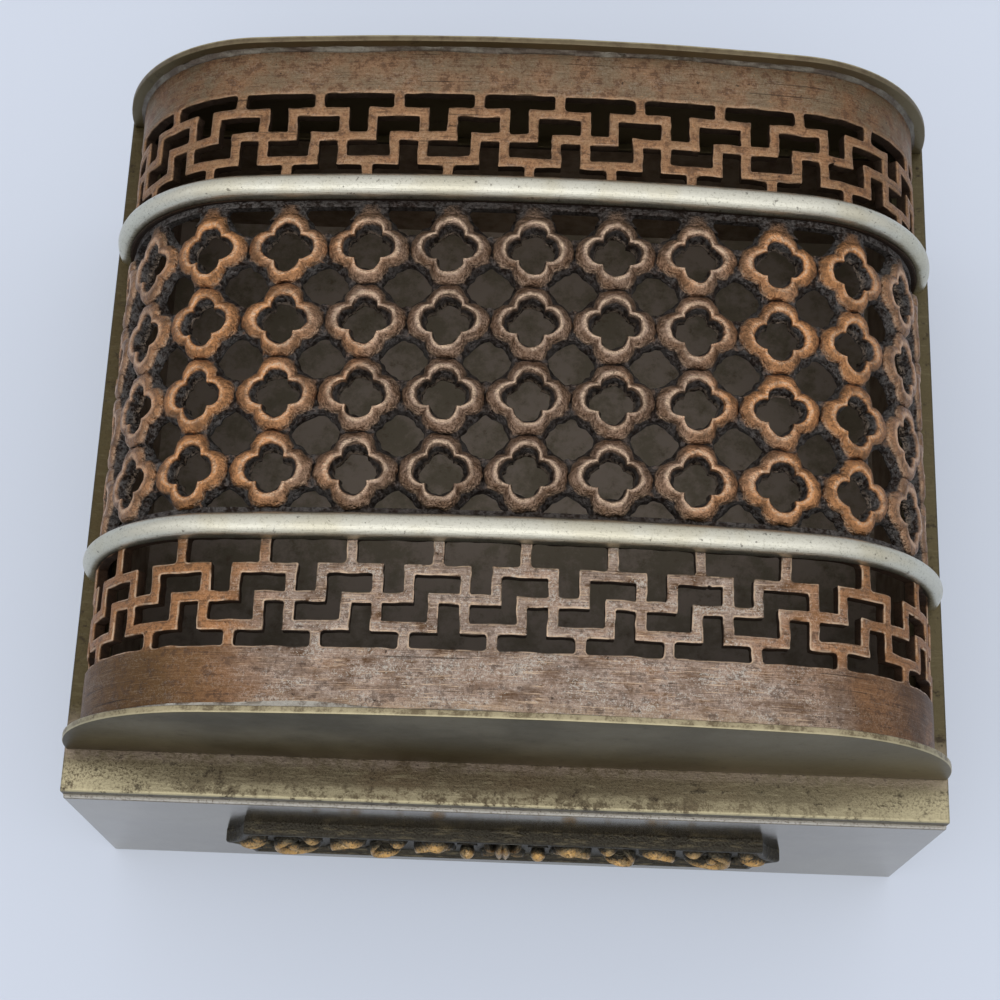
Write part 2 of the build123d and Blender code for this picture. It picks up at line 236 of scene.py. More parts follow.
def weld(piece):
    """Merge points that lie on each other and turn all faces outwards."""
    begin_edit(piece, "VERT", "SELECT")
    bpy.ops.mesh.remove_doubles(threshold=0.2 * merge_reach)
    bpy.ops.mesh.normals_make_consistent(inside=False)
    end_edit()


def close_ends(piece):
    """Close each open rim with one face."""
    begin_edit(piece, "EDGE", "DESELECT")
    bpy.ops.mesh.select_non_manifold(extend=False, use_boundary=True)
    bpy.ops.mesh.edge_face_add()
    end_edit()


def smooth(piece, angle):
    """Shade smooth, with creases sharper than an angle in degrees kept."""
    activate(piece)
    bpy.ops.object.shade_smooth_by_angle(angle=radians(angle))


def join(name, pieces):
    """Make one piece of several."""
    activate(*pieces)
    bpy.ops.object.join()
    return take(name)


def points_of(piece):
    """Points of a mesh as rows of X, Y and Z."""
    flat = np.empty(len(piece.data.vertices) * 3)
    piece.data.vertices.foreach_get("co", flat)
    return flat.reshape(-1, 3)


def set_points(piece, points):
    piece.data.vertices.foreach_set("co", np.ascontiguousarray(points, dtype=np.float64).ravel())
    piece.data.update()


def note(piece, name, values):
    """Keep one number or one vector a point, or the same number for all, for the material to read."""
    values = np.asarray(values, dtype=np.float64)
    if values.ndim == 0:
        values = np.full(len(piece.data.vertices), values)
    kind, field = ("FLOAT", "value") if values.ndim == 1 else ("FLOAT_VECTOR", "vector")
    attribute = piece.data.attributes.new(name, kind, "POINT")
    attribute.data.foreach_set(field, values.ravel())


def grid_on_lines(name, xs, ys):
    """Flat grid whose lines lie at these places."""
    deselect_all()
    bpy.ops.mesh.primitive_grid_add(x_subdivisions=len(xs) - 1, y_subdivisions=len(ys) - 1, size=2)
    piece = take(name)
    points = points_of(piece)
    for axis, places in enumerate((xs, ys)):
        line = np.rint((points[:, axis] + 1) / 2 * (len(places) - 1)).astype(int)
        points[:, axis] = np.asarray(places)[line]
    set_points(piece, points)
    return piece


def skin(name, rows):
    """Surface through rows of points. Where rows or their ends meet, they are welded."""
    rows = np.asarray(rows, dtype=np.float64)
    count, across = rows.shape[:2]
    piece = grid_on_lines(name, range(across), range(count))
    column, row = np.rint(points_of(piece)[:, :2]).astype(int).T
    set_points(piece, rows[row, column])
    weld(piece)
    return piece


def spaced(low, high, step):
    """Places from low to high, about a step apart."""
    count = max(1, round((high - low) / step))
    return list(np.linspace(low, high, count + 1))


def waver(x, y, period, seed):
    """Smooth uneven number between about -1 and 1, with waves of about one period."""
    golden_angle = 2.399
    total = 0
    for turn in range(5):
        angle = seed * 1.7 + turn * golden_angle
        rate = 2 * pi / (period * (0.7 + 0.23 * turn))
        total = total + np.sin((x * cos(angle) + y * sin(angle)) * rate + seed * 3.1 + turn * 1.9)
    return total / 3


class Dome:
    """Outline of the lid: a wide crown arc between two shoulder arcs, on short straight feet.

    A lift is a height off the top of the copper.
    """

    def __init__(self):
        size = sizes("dome")
        low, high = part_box("front_end_plate")
        self.proud = size.plate_proud
        self.foot_z = low.z
        half_width = high.x
        rise = high.z - low.z - size.shoulder_rise
        self.shoulder_r = rise - size.crown_bulge
        self.shoulder_x = half_width - self.shoulder_r
        self.shoulder_z = low.z + size.shoulder_rise
        self.crown_r = (self.shoulder_x**2 + rise**2 - self.shoulder_r**2) / (2 * size.crown_bulge)
        self.crown_z = high.z - self.crown_r
        self.crown_angle = atan2(self.shoulder_x, self.shoulder_z - self.crown_z)
        self.straight = size.shoulder_rise

    def runs(self, lift):
        """Lengths of half the crown arc and of one shoulder arc at a lift."""
        out = lift - self.proud
        crown = (self.crown_r + out) * self.crown_angle
        shoulder = (self.shoulder_r + out) * (pi / 2 - self.crown_angle)
        return crown, shoulder

    def half_girth(self, lift):
        """Length from the middle down to the flange."""
        return sum(self.runs(lift)) + self.straight

    def place(self, points, lift, tuck=0.0):
        """Bend points over the dome. Their X is a length along the outline at one lift.

        tuck is how far the piece lies below the outline at the foot. On the crown it is nothing.
        """
        along, depth, rise = points[:, 0], points[:, 1], points[:, 2]
        crown, shoulder = self.runs(lift)
        run = np.abs(along)
        reach = lift - self.proud
        tilt = np.minimum(run, crown) / (self.crown_r + reach)
        tilt += np.clip(run - crown, 0, shoulder) / (self.shoulder_r + reach)
        drop = np.maximum(run - crown - shoulder, 0)
        out = rise - self.proud - tuck * np.clip((tilt - 0.25) / 0.9, 0, 1)
        on_crown = run <= crown
        radius = np.where(on_crown, self.crown_r, self.shoulder_r) + out
        x = np.where(on_crown, 0, self.shoulder_x) + radius * np.sin(tilt)
        z = np.where(on_crown, self.crown_z, self.shoulder_z) + radius * np.cos(tilt)
        z = np.maximum(z - drop, self.foot_z)
        return np.column_stack((np.where(along < 0, -x, x), depth, z))

    def bend(self, piece, lift, tuck=0.0):
        """Bend a flat piece over the dome, and keep its flat places for the material."""
        points = points_of(piece)
        note(piece, "flat", points)
        set_points(piece, self.place(points, lift, tuck))


def sweep(name, dome, profile, unevenness=0.0, step=0.9 * mm, tuck=0.0, swell=None):
    """Closed strip over the whole dome with one profile of depths and lifts. swell changes it on the way."""
    half = dome.half_girth(0)
    closed = [*profile, profile[0]]
    rows = []
    for run in spaced(-half, half, step):
        row = []
        for index, (depth, lift) in enumerate(closed):
            turn = index % len(profile)
            bump = unevenness * waver(run, turn * 7 * mm, 3.1 * mm, 5 + turn) if lift > 0.05 * mm else 0
            if swell:
                depth, lift = swell(run, depth, lift)
            row.append((run, depth, lift + bump))
        rows.append(row)
    piece = skin(name, rows)
    close_ends(piece)
    weld(piece)
    dome.bend(piece, 0, tuck)
    return piece


def from_node(name, node, bevel, segments=2, chosen=None):
    """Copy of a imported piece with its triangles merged, and its edges or the chosen ones softened."""
    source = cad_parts[node]
    deselect_all()
    bpy.ops.mesh.primitive_plane_add(size=1)
    piece = take(name)
    old = piece.data
    piece.data = source.data.copy()
    bpy.data.meshes.remove(old)
    piece.data.name = name
    piece.data.materials.clear()
    begin_edit(piece, "VERT", "SELECT")
    bpy.ops.mesh.remove_doubles(threshold=merge_reach)
    bpy.ops.mesh.dissolve_limited(angle_limit=radians(1))
    end_edit()
    limit = {"limit_method": "ANGLE", "angle_limit": radians(30)}
    if chosen:
        mesh = piece.data
        weights = mesh.attributes.new("bevel_weight_edge", "FLOAT", "EDGE")
        for edge in mesh.edges:
            first, second = (mesh.vertices[end].co for end in edge.vertices)
            weights.data[edge.index].value = 1.0 if chosen((first + second) / 2) else 0.0
        limit = {"limit_method": "WEIGHT"}
    modify(piece, "BEVEL", width=bevel, segments=segments, **limit)
    begin_edit(piece, "VERT", "SELECT")
    bpy.ops.mesh.dissolve_degenerate(threshold=4 * merge_reach)
    bpy.ops.mesh.delete_loose()
    end_edit()
    smooth(piece, 35)
    return piece


class Number:
    """A number on the surface. Arithmetic on it adds Math nodes."""

    def __init__(self, finish, socket):
        self.finish = finish
        self.socket = socket

    def math(self, operation, first, second=0.0):
        made = self.finish.node("ShaderNodeMath", {0: first, 1: second}, operation=operation)
        return Number(self.finish, made.outputs[0])

    def __add__(self, other):
        return self.math("ADD", self, other)

    def __radd__(self, other):
        return self.math("ADD", other, self)

    def __sub__(self, other):
        return self.math("SUBTRACT", self, other)

    def __rsub__(self, other):
        return self.math("SUBTRACT", other, self)

    def __mul__(self, other):
        return self.math("MULTIPLY", self, other)

    def __abs__(self):
        return self.math("ABSOLUTE", self)

    def least(self, other):
        return self.math("MINIMUM", self, other)

    def most(self, other):
        return self.math("MAXIMUM", self, other)

    def swing(self, amount):
        """Cloudy pattern as an unevenness about zero."""
        return (self - 0.5) * amount

    def step(self, low, high):
        """0 below low, 1 above high, and smooth between. It falls where low is above high."""
        made = self.finish.node("ShaderNodeMapRange", {"Value": self, "From Min": low, "From Max": high},
                                interpolation_type="SMOOTHSTEP")
        return Number(self.finish, made.outputs["Result"])


class Finish:
    """One material, built from the top down: patterns first, then the metal that reads them."""

    def __init__(self, name, target=None):
        self.material = target or bpy.data.materials.new(name)
        self.material.use_nodes = True
        self.tree = self.material.node_tree
        self.tree.nodes.clear()
        self.spot = None

    def node(self, kind, inputs=None, **settings):
        """Add a node, with its settings first and then the values or links of its sockets."""
        made = self.tree.nodes.new(kind)
        for key, value in settings.items():
            setattr(made, key, value)
        for key, value in (inputs or {}).items():
            socket = made.inputs[key]
            if isinstance(value, Number):
                self.tree.links.new(value.socket, socket)
            elif isinstance(value, bpy.types.NodeSocket):
                self.tree.links.new(value, socket)
            elif hasattr(value, "__len__") and len(value) < len(socket.default_value):
                socket.default_value = (*value, 1)
            else:
                socket.default_value = value
        return made

    def kept(self, name):
        """Number kept with the points of the mesh."""
        return Number(self, self.node("ShaderNodeAttribute", attribute_name=name).outputs["Fac"])

    def parts(self, vector):
        """X, Y and Z of a vector."""
        return [Number(self, socket) for socket in self.node("ShaderNodeSeparateXYZ", {0: vector}).outputs]

    def noise(self, size, detail, roughness=0.55, stretch=None):
        """Cloudy pattern with blobs of about one size in mm. Low numbers in stretch draw it out."""
        spot = self.spot
        if stretch:
            spot = self.node("ShaderNodeVectorMath", {0: spot, 1: stretch}, operation="MULTIPLY").outputs[0]
        made = self.node("ShaderNodeTexNoise", {"Vector": spot, "Scale": 1 / (size * mm), "Detail": detail,
                                                "Roughness": roughness})
        return Number(self, made.outputs["Fac"])

    def lay(self, colour, *layers):
        """Lay colours over one colour. Each layer is how much of it shows, and its colour."""
        for share, above in layers:
            colour = self.node("ShaderNodeMix", {0: share, 6: colour, 7: above}, data_type="RGBA").outputs[2]
        return colour

    def metal(self, colour, roughness, height, strength, distance, metallic=1.0):
        """Close the material with one metal surface. Its bumps are a distance in mm deep."""
        bumps = self.node("ShaderNodeBump", {
            "Height": height, "Strength": strength, "Distance": distance * mm})
        shader = self.node("ShaderNodeBsdfPrincipled", {
            "Base Color": colour, "Roughness": roughness, "Metallic": metallic,
            "Normal": bumps.outputs["Normal"]})
        self.node("ShaderNodeOutputMaterial", {"Surface": shader.outputs[0]})


def fret_copper(finish, metal):
    """Worn brown copper: rubbed pale on the crown with a painted reflection there, darker at the rear with
    painted shade, scratched along, worn at the rims with painted highlights, dirty and with painted shade in
    the holes and at the bands' feet.
    """
    along, depth, lift = finish.parts(finish.spot)
    room = finish.kept("room")
    size = sizes("fret")
    front_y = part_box("front_fret_sheet")[0].y
    front_band_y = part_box("front_band")[0].y
    rear_band_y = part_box("rear_band")[1].y
    front_bars_y = front_band_y - size.front_high - size.front_low
    rear_bars_y = rear_band_y + size.rear_low + size.rear_high
    cloud = finish.noise(14, 4)
    stain = finish.noise(3, 6, 0.75)
    patch = finish.noise(3.2, 4, 0.7, (0.5, 1, 1))
    blotch = finish.noise(1.5, 6, 0.8)
    grain = finish.noise(0.4, 3, 0.7)
    speck = finish.noise(0.16, 1, 0.6)
    scratch = finish.noise(0.16, 4, 0.8, (0.03, 1, 1))
    smear = finish.noise(0.7, 4, 0.7, (0.12, 1, 1))
    cut = finish.noise(0.45, 2, 0.5, (0.02, 1, 1))
    front = depth.step(10 * mm, -15 * mm)
    crown = (abs(along - 3 * mm) + cloud.swing(36 * mm)).step(45 * mm, 25 * mm) * front
    bars = depth.step(front_bars_y - 0.6 * mm, front_bars_y + 0.6 * mm)
    bars = bars * depth.step(rear_bars_y + 0.6 * mm, rear_bars_y - 0.6 * mm)
    far = (along + stain.swing(16 * mm)).step(-32 * mm, -44 * mm)
    rear = finish.lay(
        metal.copper_olive,
        (stain.step(0.4, 0.6), metal.copper),
        (abs(along).step(50 * mm, 25 * mm) * 0.12, metal.ring_pale),
    )
    near_plate = (depth + stain.swing(3 * mm)).step(front_y + 2.4 * mm, front_y) * crown
    rubbed = (grain + speck.swing(0.6)).step(0.46, 0.6)
    light = (scratch + smear.swing(0.4)).step(0.44, 0.34)
    glints = (grain + speck.swing(0.7) + patch.swing(0.9)).step(0.42, 0.3)
    dark_spots = finish.noise(1.1, 3, 0.6).step(0.67, 0.72)
    # Rims along the holes: worn edges, with a painted highlight.
    rim = room.step(0.26 * mm, 0.08 * mm) * lift.step(-0.3 * mm, -0.1 * mm)
    # Dirt and painted shade on the copper along the foot of each band.
    band_foot_dirt_and_shade = 1 - depth.step(front_band_y + 0.9 * mm, front_band_y + 0.3 * mm)
    band_foot_dirt_and_shade = band_foot_dirt_and_shade * depth.step(0, -1 * mm)
    far_band_foot_dirt_and_shade = depth.step(rear_band_y - 0.3 * mm, rear_band_y - 0.9 * mm)
    far_band_foot_dirt_and_shade = far_band_foot_dirt_and_shade * depth.step(0, 1 * mm)
    # Walls of the holes: dirt, and painted shade.
    wall = lift.step(-0.12 * mm, -0.4 * mm)
    base = finish.lay(
        metal.copper_brown,
        ((cloud + stain.swing(0.9)).step(0.4, 0.62), metal.copper),
        # Rear sheet darker olive: tarnish, and painted shade for the dimmer light at the back.
        ((1 - front) * 0.9, rear),
        # Pale on the crown: rubbed copper, and a painted reflection of the bright overhead.
        (crown * (stain + smear.swing(0.5)).step(0.3, 0.6) * 0.85, metal.copper_pink),
        (near_plate * 0.5, metal.ring_pale),
        (far * front * (0.8 - bars * 0.6), metal.copper_gold),
        (crown * patch.step(0.5, 0.64) * (0.55 - bars * 0.35), metal.copper_brown),
        (bars * (1 - crown) * (front * 0.15 + 0.3), metal.ring_orange),
        ((blotch + stain.swing(0.4)).step(0.5, 0.62) * 0.6, metal.ring_dark),
        (blotch.step(0.42, 0.34) * (1 - front) * 0.35, metal.ring_orange),
        (rubbed * (0.38 - crown * 0.1), metal.copper_brown),
        ((scratch + smear.swing(0.5)).step(0.55, 0.68) * 0.65, metal.ring_dark),
        (light * (crown * 0.7 + 0.15), metal.ring_pale),
        (glints * (crown * 0.5 + 0.1), metal.solder),
        (cut.step(0.66, 0.71) * 0.6, metal.dirt_and_shade),
        (dark_spots * 0.75, metal.dirt_and_shade),
        # Painted highlight along the worn rims.
        (rim * stain.step(0.4, 0.58) * (front * 0.55 + 0.2), metal.ring_pale),
        (band_foot_dirt_and_shade.most(far_band_foot_dirt_and_shade) * 0.9, metal.dirt_and_shade),
        (wall * 0.9, metal.dirt_and_shade),
    )
    rough = 0.34 + stain * 0.2 + wall * 0.25 + scratch * 0.12
    height = grain * 0.5 + scratch * 0.7 + stain * 0.8 + blotch * 0.6 + speck * 0.25
    finish.metal(base, rough, height, 0.6, 0.14)


def ring_copper(finish, metal):
    """Cast copper: golden on the shoulders, brown with pale crests on the crown, dark in the recesses, with
    worn edges and painted highlights along the rings' outer lobes and hole edges.
    """
    along, _, lift = finish.parts(finish.spot)
    ridge = finish.kept("ridge")
    burr = finish.kept("burr")
    inner = finish.kept("inner")
    cloud = finish.noise(9, 3)
    stain = finish.noise(2.0, 6, 0.8)
    grain = finish.noise(0.5, 2, 0.65)
    speck = finish.noise(0.2, 1, 0.5)
    side = (abs(along) + cloud.swing(44 * mm)).step(14 * mm, 40 * mm)
    foot = (abs(along) + stain.swing(10 * mm)).step(43 * mm, 54 * mm)
    coarse = (grain + speck.swing(0.9)).step(0.48, 0.62)
    slope = (ridge + grain.swing(0.8)).step(0.5, 0.0) * (0.55 - side * 0.1)
    flesh = finish.lay(
        metal.ring_brown,
        (side, metal.ring_orange),
        (foot * 0.7, metal.ring_brown),
        (stain.step(0.42, 0.62) * 0.7, metal.copper_brown),
        (coarse * (0.5 - side * 0.25), metal.ring_dark),
        (slope, metal.copper_brown),
    )
    pale = finish.lay(metal.ring_pale, (side * 0.3, metal.ring_orange))
    bright = (ridge + grain.swing(1.6) + speck.swing(1.6)).step(0.5, 1.3)
    base = finish.lay(flesh, (bright * (stain.step(0.62, 0.44) * 0.7 + 0.25), pale))
    top = (lift + grain.swing(0.5 * mm) + stain.swing(0.5 * mm)).step(-0.4 * mm, 0.0)
    top = top * (1 - inner)
    chalk = (stain + grain.swing(0.5)).step(0.34, 0.64) * (side * 0.3 + 0.55)
    dirt = finish.lay(
        metal.dirt_and_shade,
        (grain.step(0.4, 0.62) * 0.6, metal.ring_dark),
        (chalk * 0.7, metal.verdigris),
    )
    # Painted highlight along the rings' worn edges.
    base = finish.lay(dirt, (top, base), (burr * grain.step(0.4, 0.55) * 0.4, metal.ring_pale))
    rough = 0.54 - top * 0.2 + grain * 0.16
    height = grain * (1.6 - top * 0.3) + speck * 0.6 + stain * 0.9
    finish.metal(base, rough, height, 0.9, 0.2)


def band_metal(finish, metal):
    """Silvery metal: polished, with fine scratches, a few dark specks, and olive dirt with painted shade
    along both edges and at the feet.
    """
    lift = finish.parts(finish.spot)[2]
    cloud = finish.noise(9, 4)
    stain = finish.noise(1.8, 6, 0.8)
    grain = finish.noise(0.3, 3, 0.8)
    scratch = finish.noise(0.16, 3, 0.65, (0.05, 1, 1))
    specks = finish.noise(0.8, 2, 0.5).step(0.67, 0.74)
    uneven = stain.swing(2.2 * mm) + grain.swing(0.9 * mm)
    # Darker olive towards the edges and feet: dirt, and painted shade.
    haze_and_shade = (lift + uneven).step(1.9 * mm, 0.6 * mm)
    grime_and_shade = (lift + uneven).step(0.9 * mm, 0.1 * mm)
    band_foot_dirt_and_shade = (lift + grain.swing(0.5 * mm)).step(0.3 * mm, 0.0)
    base = finish.lay(
        metal.band,
        (cloud.step(0.45, 0.65) * 0.35, metal.brass),
        (grain.step(0.54, 0.66) * 0.4, metal.band_grime_and_shade),
        (scratch.step(0.6, 0.72) * 0.25, metal.band_grime_and_shade),
        (haze_and_shade * 0.2, metal.band_grime_and_shade),
        (grime_and_shade * 0.7, metal.band_grime_and_shade),
        (band_foot_dirt_and_shade * 0.8, metal.dirt_and_shade),
        (specks * 0.6, metal.dirt_and_shade),
    )
    rough = 0.22 + stain * 0.14 + grime_and_shade * 0.2 + scratch * 0.08
    height = scratch * 0.6 + stain * 1.1 + cloud + grain * 0.4
    finish.metal(base, rough, height, 0.38, 0.13)


def plate_brass(finish, metal):
    """Brass of the end plates: dull on the rims with a painted highlight along the outer edge, and dark olive
    tarnish with painted shade on the upright faces.
    """
    across, back, _ = finish.parts(finish.spot)
    front_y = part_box("front_end_plate")[0].y
    rear_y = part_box("rear_end_plate")[1].y
    cloud = finish.noise(16, 4)
    stain = finish.noise(2.6, 6, 0.75)
    grain = finish.noise(0.3, 3, 0.75)
    facing_y = finish.parts(finish.node("ShaderNodeNewGeometry").outputs["Normal"])[1]
    at_rear = back.step(0, 10 * mm)
    # Upright faces, found by their normal, get painted shade: a dark olive copy of the brass, lighter towards
    # the right.
    upright_face_shade = abs(facing_y).step(0.6, 0.95)
    right = (across + cloud.swing(30 * mm)).step(-20 * mm, 45 * mm)
    face = finish.lay(
        metal.face_tarnish_and_shade,
        (cloud.step(0.35, 0.7) * 0.5, metal.brass_olive),
        (right * 0.5 + at_rear * 0.5, metal.brass_olive),
        (stain.step(0.56, 0.72) * 0.45, metal.dirt_and_shade),
        (grain.step(0.6, 0.7) * 0.2, metal.brass_olive),
    )
    rear = finish.lay(
        metal.brass_olive,
        (stain.step(0.42, 0.7) * 0.6, metal.ring_dark),
        (0.2, metal.copper_brown),
    )
    outermost = abs(back - front_y).least(abs(back - rear_y))
    # Painted highlight along the outer edge of each plate.
    edge = (outermost + stain.swing(0.3 * mm)).step(0.32 * mm, 0.12 * mm)
    rim = finish.lay(
        metal.brass,
        ((stain + grain.swing(0.4)).step(0.4, 0.64), metal.brass_olive),
        (0.25, metal.copper_brown),
        (at_rear, rear),
        (edge * 0.8, metal.brass),
    )
    base = finish.lay(rim, (upright_face_shade, face))
    rough = 0.34 + stain * 0.16 + grain * 0.08
    height = stain * 0.8 + grain * 0.6 + cloud
    finish.metal(base, rough, height, 0.26, 0.14)


def flange_brass(finish, metal):
    """Olive brass with pale rubbed front corners, brown streaks, dark stains, a painted highlight along the
    front edge and painted shade on the front face; paler towards the right.
    """
    across, back, up = finish.parts(finish.spot)
    low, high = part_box("lid_flange")
    edge_y = low.y
    cloud = finish.noise(12, 4)
    stain = finish.noise(2.2, 6, 0.8)
    grain = finish.noise(0.36, 3, 0.7)
    streak = finish.noise(0.5, 5, 0.75, (0.16, 1, 1))
    # Paler towards the right.
    paler_right = (across + cloud.swing(30 * mm)).step(5 * mm, 50 * mm)
    near_plate = back.step(edge_y + 3.7 * mm, edge_y + 5.2 * mm)
    near_plate = near_plate * back.step(edge_y + 12 * mm, edge_y + 8 * mm)
    beside = back.step(edge_y + 7 * mm, edge_y + 12 * mm)
    low_strip = (back + streak.swing(1.5 * mm)).step(edge_y + 2.4 * mm, edge_y + 1.2 * mm)
    corner = (abs(across) + stain.swing(22 * mm)).step(38 * mm, 56 * mm)
    corner = corner * back.step(edge_y + 5.0 * mm, edge_y + 2.2 * mm)
    spots = (stain + streak.swing(0.5)).step(0.56, 0.68)
    # Painted highlight along the flange's front edge.
    front_edge_highlight = (back + stain.swing(0.4 * mm)).step(edge_y + 0.5 * mm, edge_y + 0.15 * mm)
    # Painted shade on the upright front face of the flange.
    front_face_shade = (up + stain.swing(0.3 * mm)).step(high.z - 0.2 * mm, high.z - 0.5 * mm)
    base = finish.lay(
        metal.flange_olive,
        (cloud.step(0.4, 0.7) * 0.3, metal.copper_brown),
        (grain.step(0.5, 0.62) * 0.4, metal.dirt_and_shade),
        (streak.step(0.5, 0.66) * 0.25 + paler_right * 0.25, metal.brass),
        (near_plate * stain.step(0.35, 0.6) * 0.4, metal.copper_pink),
        (beside * 0.7, metal.face_tarnish_and_shade),
        (low_strip * stain.step(0.56, 0.44) * 0.55, metal.brass),
        (corner * grain.step(0.66, 0.42) * 0.9, metal.brass),
        (spots * 0.75, metal.dirt_and_shade),
        (front_edge_highlight * stain.step(0.6, 0.5) * 0.8, metal.brass),
        (front_face_shade * 0.8, metal.dirt_and_shade),
    )
    rough = 0.34 + stain * 0.2 + streak * 0.06
    height = streak * 0.6 + stain * 1.1 + cloud + grain * 0.6
    finish.metal(base, rough, height, 0.42, 0.16)


def wall_brass(finish, metal):
    """Polished pale brass, rough and bright along the top edge and dull brown inside the box."""
    across, back, up = finish.parts(finish.spot)
    low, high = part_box("front_wall")
    back_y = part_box("back_wall")[1].y
    cloud = finish.noise(22, 4)
    stain = finish.noise(3.5, 6, 0.7)
    grain = finish.noise(0.3, 4, 0.8)
    streak = finish.noise(0.3, 3, 0.6, (1, 1, 0.06))
    from_side = high.x - abs(across)
    from_front = back - low.y
    from_back = back_y - back
    inside = from_side.least(from_front).least(from_back).step(0.7 * mm, 0.82 * mm)
    dull = finish.lay(metal.floor, ((stain + cloud.swing(0.5)).step(0.3, 0.75) * 0.7, metal.copper_brown))
    edge = (up + stain.swing(0.2 * mm)).step(high.z - 0.26 * mm, high.z - 0.1 * mm)
    rubbed = finish.lay(metal.solder, (grain.step(0.52, 0.64) * 0.7, metal.copper_brown))
    base = finish.lay(
        metal.wall,
        (cloud.step(0.3, 0.75) * 0.16, metal.brass),
        (stain.step(0.62, 0.76) * 0.25, metal.brass_olive),
        (inside, dull),
        (edge, rubbed),
    )
    rough = 0.08 + stain * 0.1 + streak * 0.04 + edge * 0.3 + inside * 0.4
    height = streak * 0.3 + cloud * 1.2 + stain * 0.3 + edge * grain * 3
    finish.metal(base, rough, height, 0.12, 0.2)


def floor_brass(finish, metal):
    """Dull mottled floor inside the box, with painted shade towards the front."""
    back = finish.parts(finish.spot)[1]
    cloud = finish.noise(9, 4)
    stain = finish.noise(2.5, 6, 0.75)
    # Painted shade: darker towards the front, under the solid front of the lid.
    front_shade = (back + cloud.swing(10 * mm)).step(4 * mm, -22 * mm)
    base = finish.lay(
        metal.floor,
        ((cloud + stain.swing(0.8)).step(0.38, 0.62) * 0.75, metal.brass_olive),
        (stain.step(0.56, 0.72) * 0.5, metal.copper_brown),
        (front_shade * 0.45, metal.dirt_and_shade),
    )
    finish.metal(base, 0.5 + stain * 0.2, stain, 0.3, 0.2, metallic=0.3)


def solder_metal(finish, metal):
    """Solder: bright and smeared at the front, dull grey-brown at the back."""
    back = finish.parts(finish.spot)[1]
    grain = finish.noise(0.32, 4, 0.8)
    stain = finish.noise(4, 5, 0.75)
    rear = finish.lay(
        metal.verdigris,
        (0.5, metal.brass_olive),
        (stain.step(0.36, 0.6) * 0.7, metal.ring_dark),
    )
    base = finish.lay(
        metal.solder,
        (stain.step(0.44, 0.62) * 0.85, metal.copper_brown),
        (back.step(0, 10 * mm), rear),
        (grain.step(0.52, 0.66) * 0.4, metal.dirt_and_shade),
    )
    finish.metal(base, 0.36 + grain * 0.2, grain + stain * 0.5, 0.5, 0.18)


def plaque_brass(finish, metal):
    """Cast brass: grey-black in the field and on the frame, gold where the relief is rubbed."""
    back = finish.parts(finish.spot)[1]
    size = sizes("plaque")
    wall_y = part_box("front_wall")[0].y
    relief = finish.kept("relief")
    stain = finish.noise(1.2, 5, 0.7)
    grain = finish.noise(0.3, 2, 0.6)
    smear = finish.noise(0.5, 4, 0.7, (0.2, 1, 1))
    rise = wall_y - back + stain.swing(1.6 * mm) + grain.swing(1.2 * mm)
    top = rise.step(size.field_t + 0.7 * mm, size.field_t + 1.5 * mm) * relief
    gold = finish.lay(
        metal.plaque_gold,
        (stain.step(0.44, 0.62) * 0.7, metal.brass_olive),
        (grain.step(0.44, 0.32) * 0.6, metal.ring_pale),
        (grain.step(0.56, 0.68) * 0.7, metal.dirt_and_shade),
    )
    base = finish.lay(
        metal.plaque_dark,
        (grain.step(0.5, 0.66) * 0.6, metal.dirt_and_shade),
        (smear.step(0.5, 0.66) * 0.45, metal.brass_olive),
        (top, gold),
    )
    rough = 0.42 - top * 0.2 + grain * 0.12
    height = grain * 0.8 + stain * 0.7 + smear * 0.5
    finish.metal(base, rough, height, 0.8, 0.2)


def hinge_brass(finish, metal):
    """Satin brass of the hinge."""
    cloud = finish.noise(9, 4)
    stain = finish.noise(2, 6, 0.75)
    grain = finish.noise(0.3, 4, 0.8)
    streak = finish.noise(0.25, 3, 0.6, (0.05, 1, 1))
    base = finish.lay(
        metal.brass,
        ((cloud + stain.swing(0.5)).step(0.3, 0.75) * 0.6, metal.brass_olive),
        ((stain + grain.swing(0.4)).step(0.56, 0.7) * 0.5, metal.brass_olive),
        (streak.step(0.58, 0.72) * 0.3, metal.copper_brown),
    )
    height = streak * 0.6 + stain * 0.5
    finish.metal(base, 0.28 + stain * 0.15, height, 0.22, 0.12)


LOOKS = {
    "fret_copper": ("fret copper", fret_copper, True),
    "lattice_copper": ("ring copper", ring_copper, True),
    "band_metal": ("band metal", band_metal, True),
    "lid_brass": ("plate brass", plate_brass, False),
    "flange": ("flange brass", flange_brass, False),
    "wall_brass": ("wall brass", wall_brass, False),
    "floor_brass": ("floor brass", floor_brass, False),
    "plaque_brass": ("plaque brass", plaque_brass, False),
    "hinge_brass": ("hinge brass", hinge_brass, False),
    "solder": ("solder", solder_metal, False),
}


def wear(piece, look):
    """Put on the metal of one look. It follows the flat places of bent pieces, or the place on the piece."""
    name, paint, flat = LOOKS[look]
    material = bpy.data.materials.get(name)
    if not material:
        finish = Finish(name)
        if flat:
            finish.spot = finish.node("ShaderNodeAttribute", attribute_name="flat").outputs["Vector"]
        else:
            finish.spot = finish.node("ShaderNodeTexCoord").outputs["Object"]
        paint(finish, sizes("metals"))
        material = finish.material
    piece.data.materials.clear()
    piece.data.materials.append(material)


def finished(piece, body, slot, node=None, look=None):
    """Give a piece its metal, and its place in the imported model."""
    wear(piece, look or slot)
    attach(piece, body)
    if node:
        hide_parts(node)


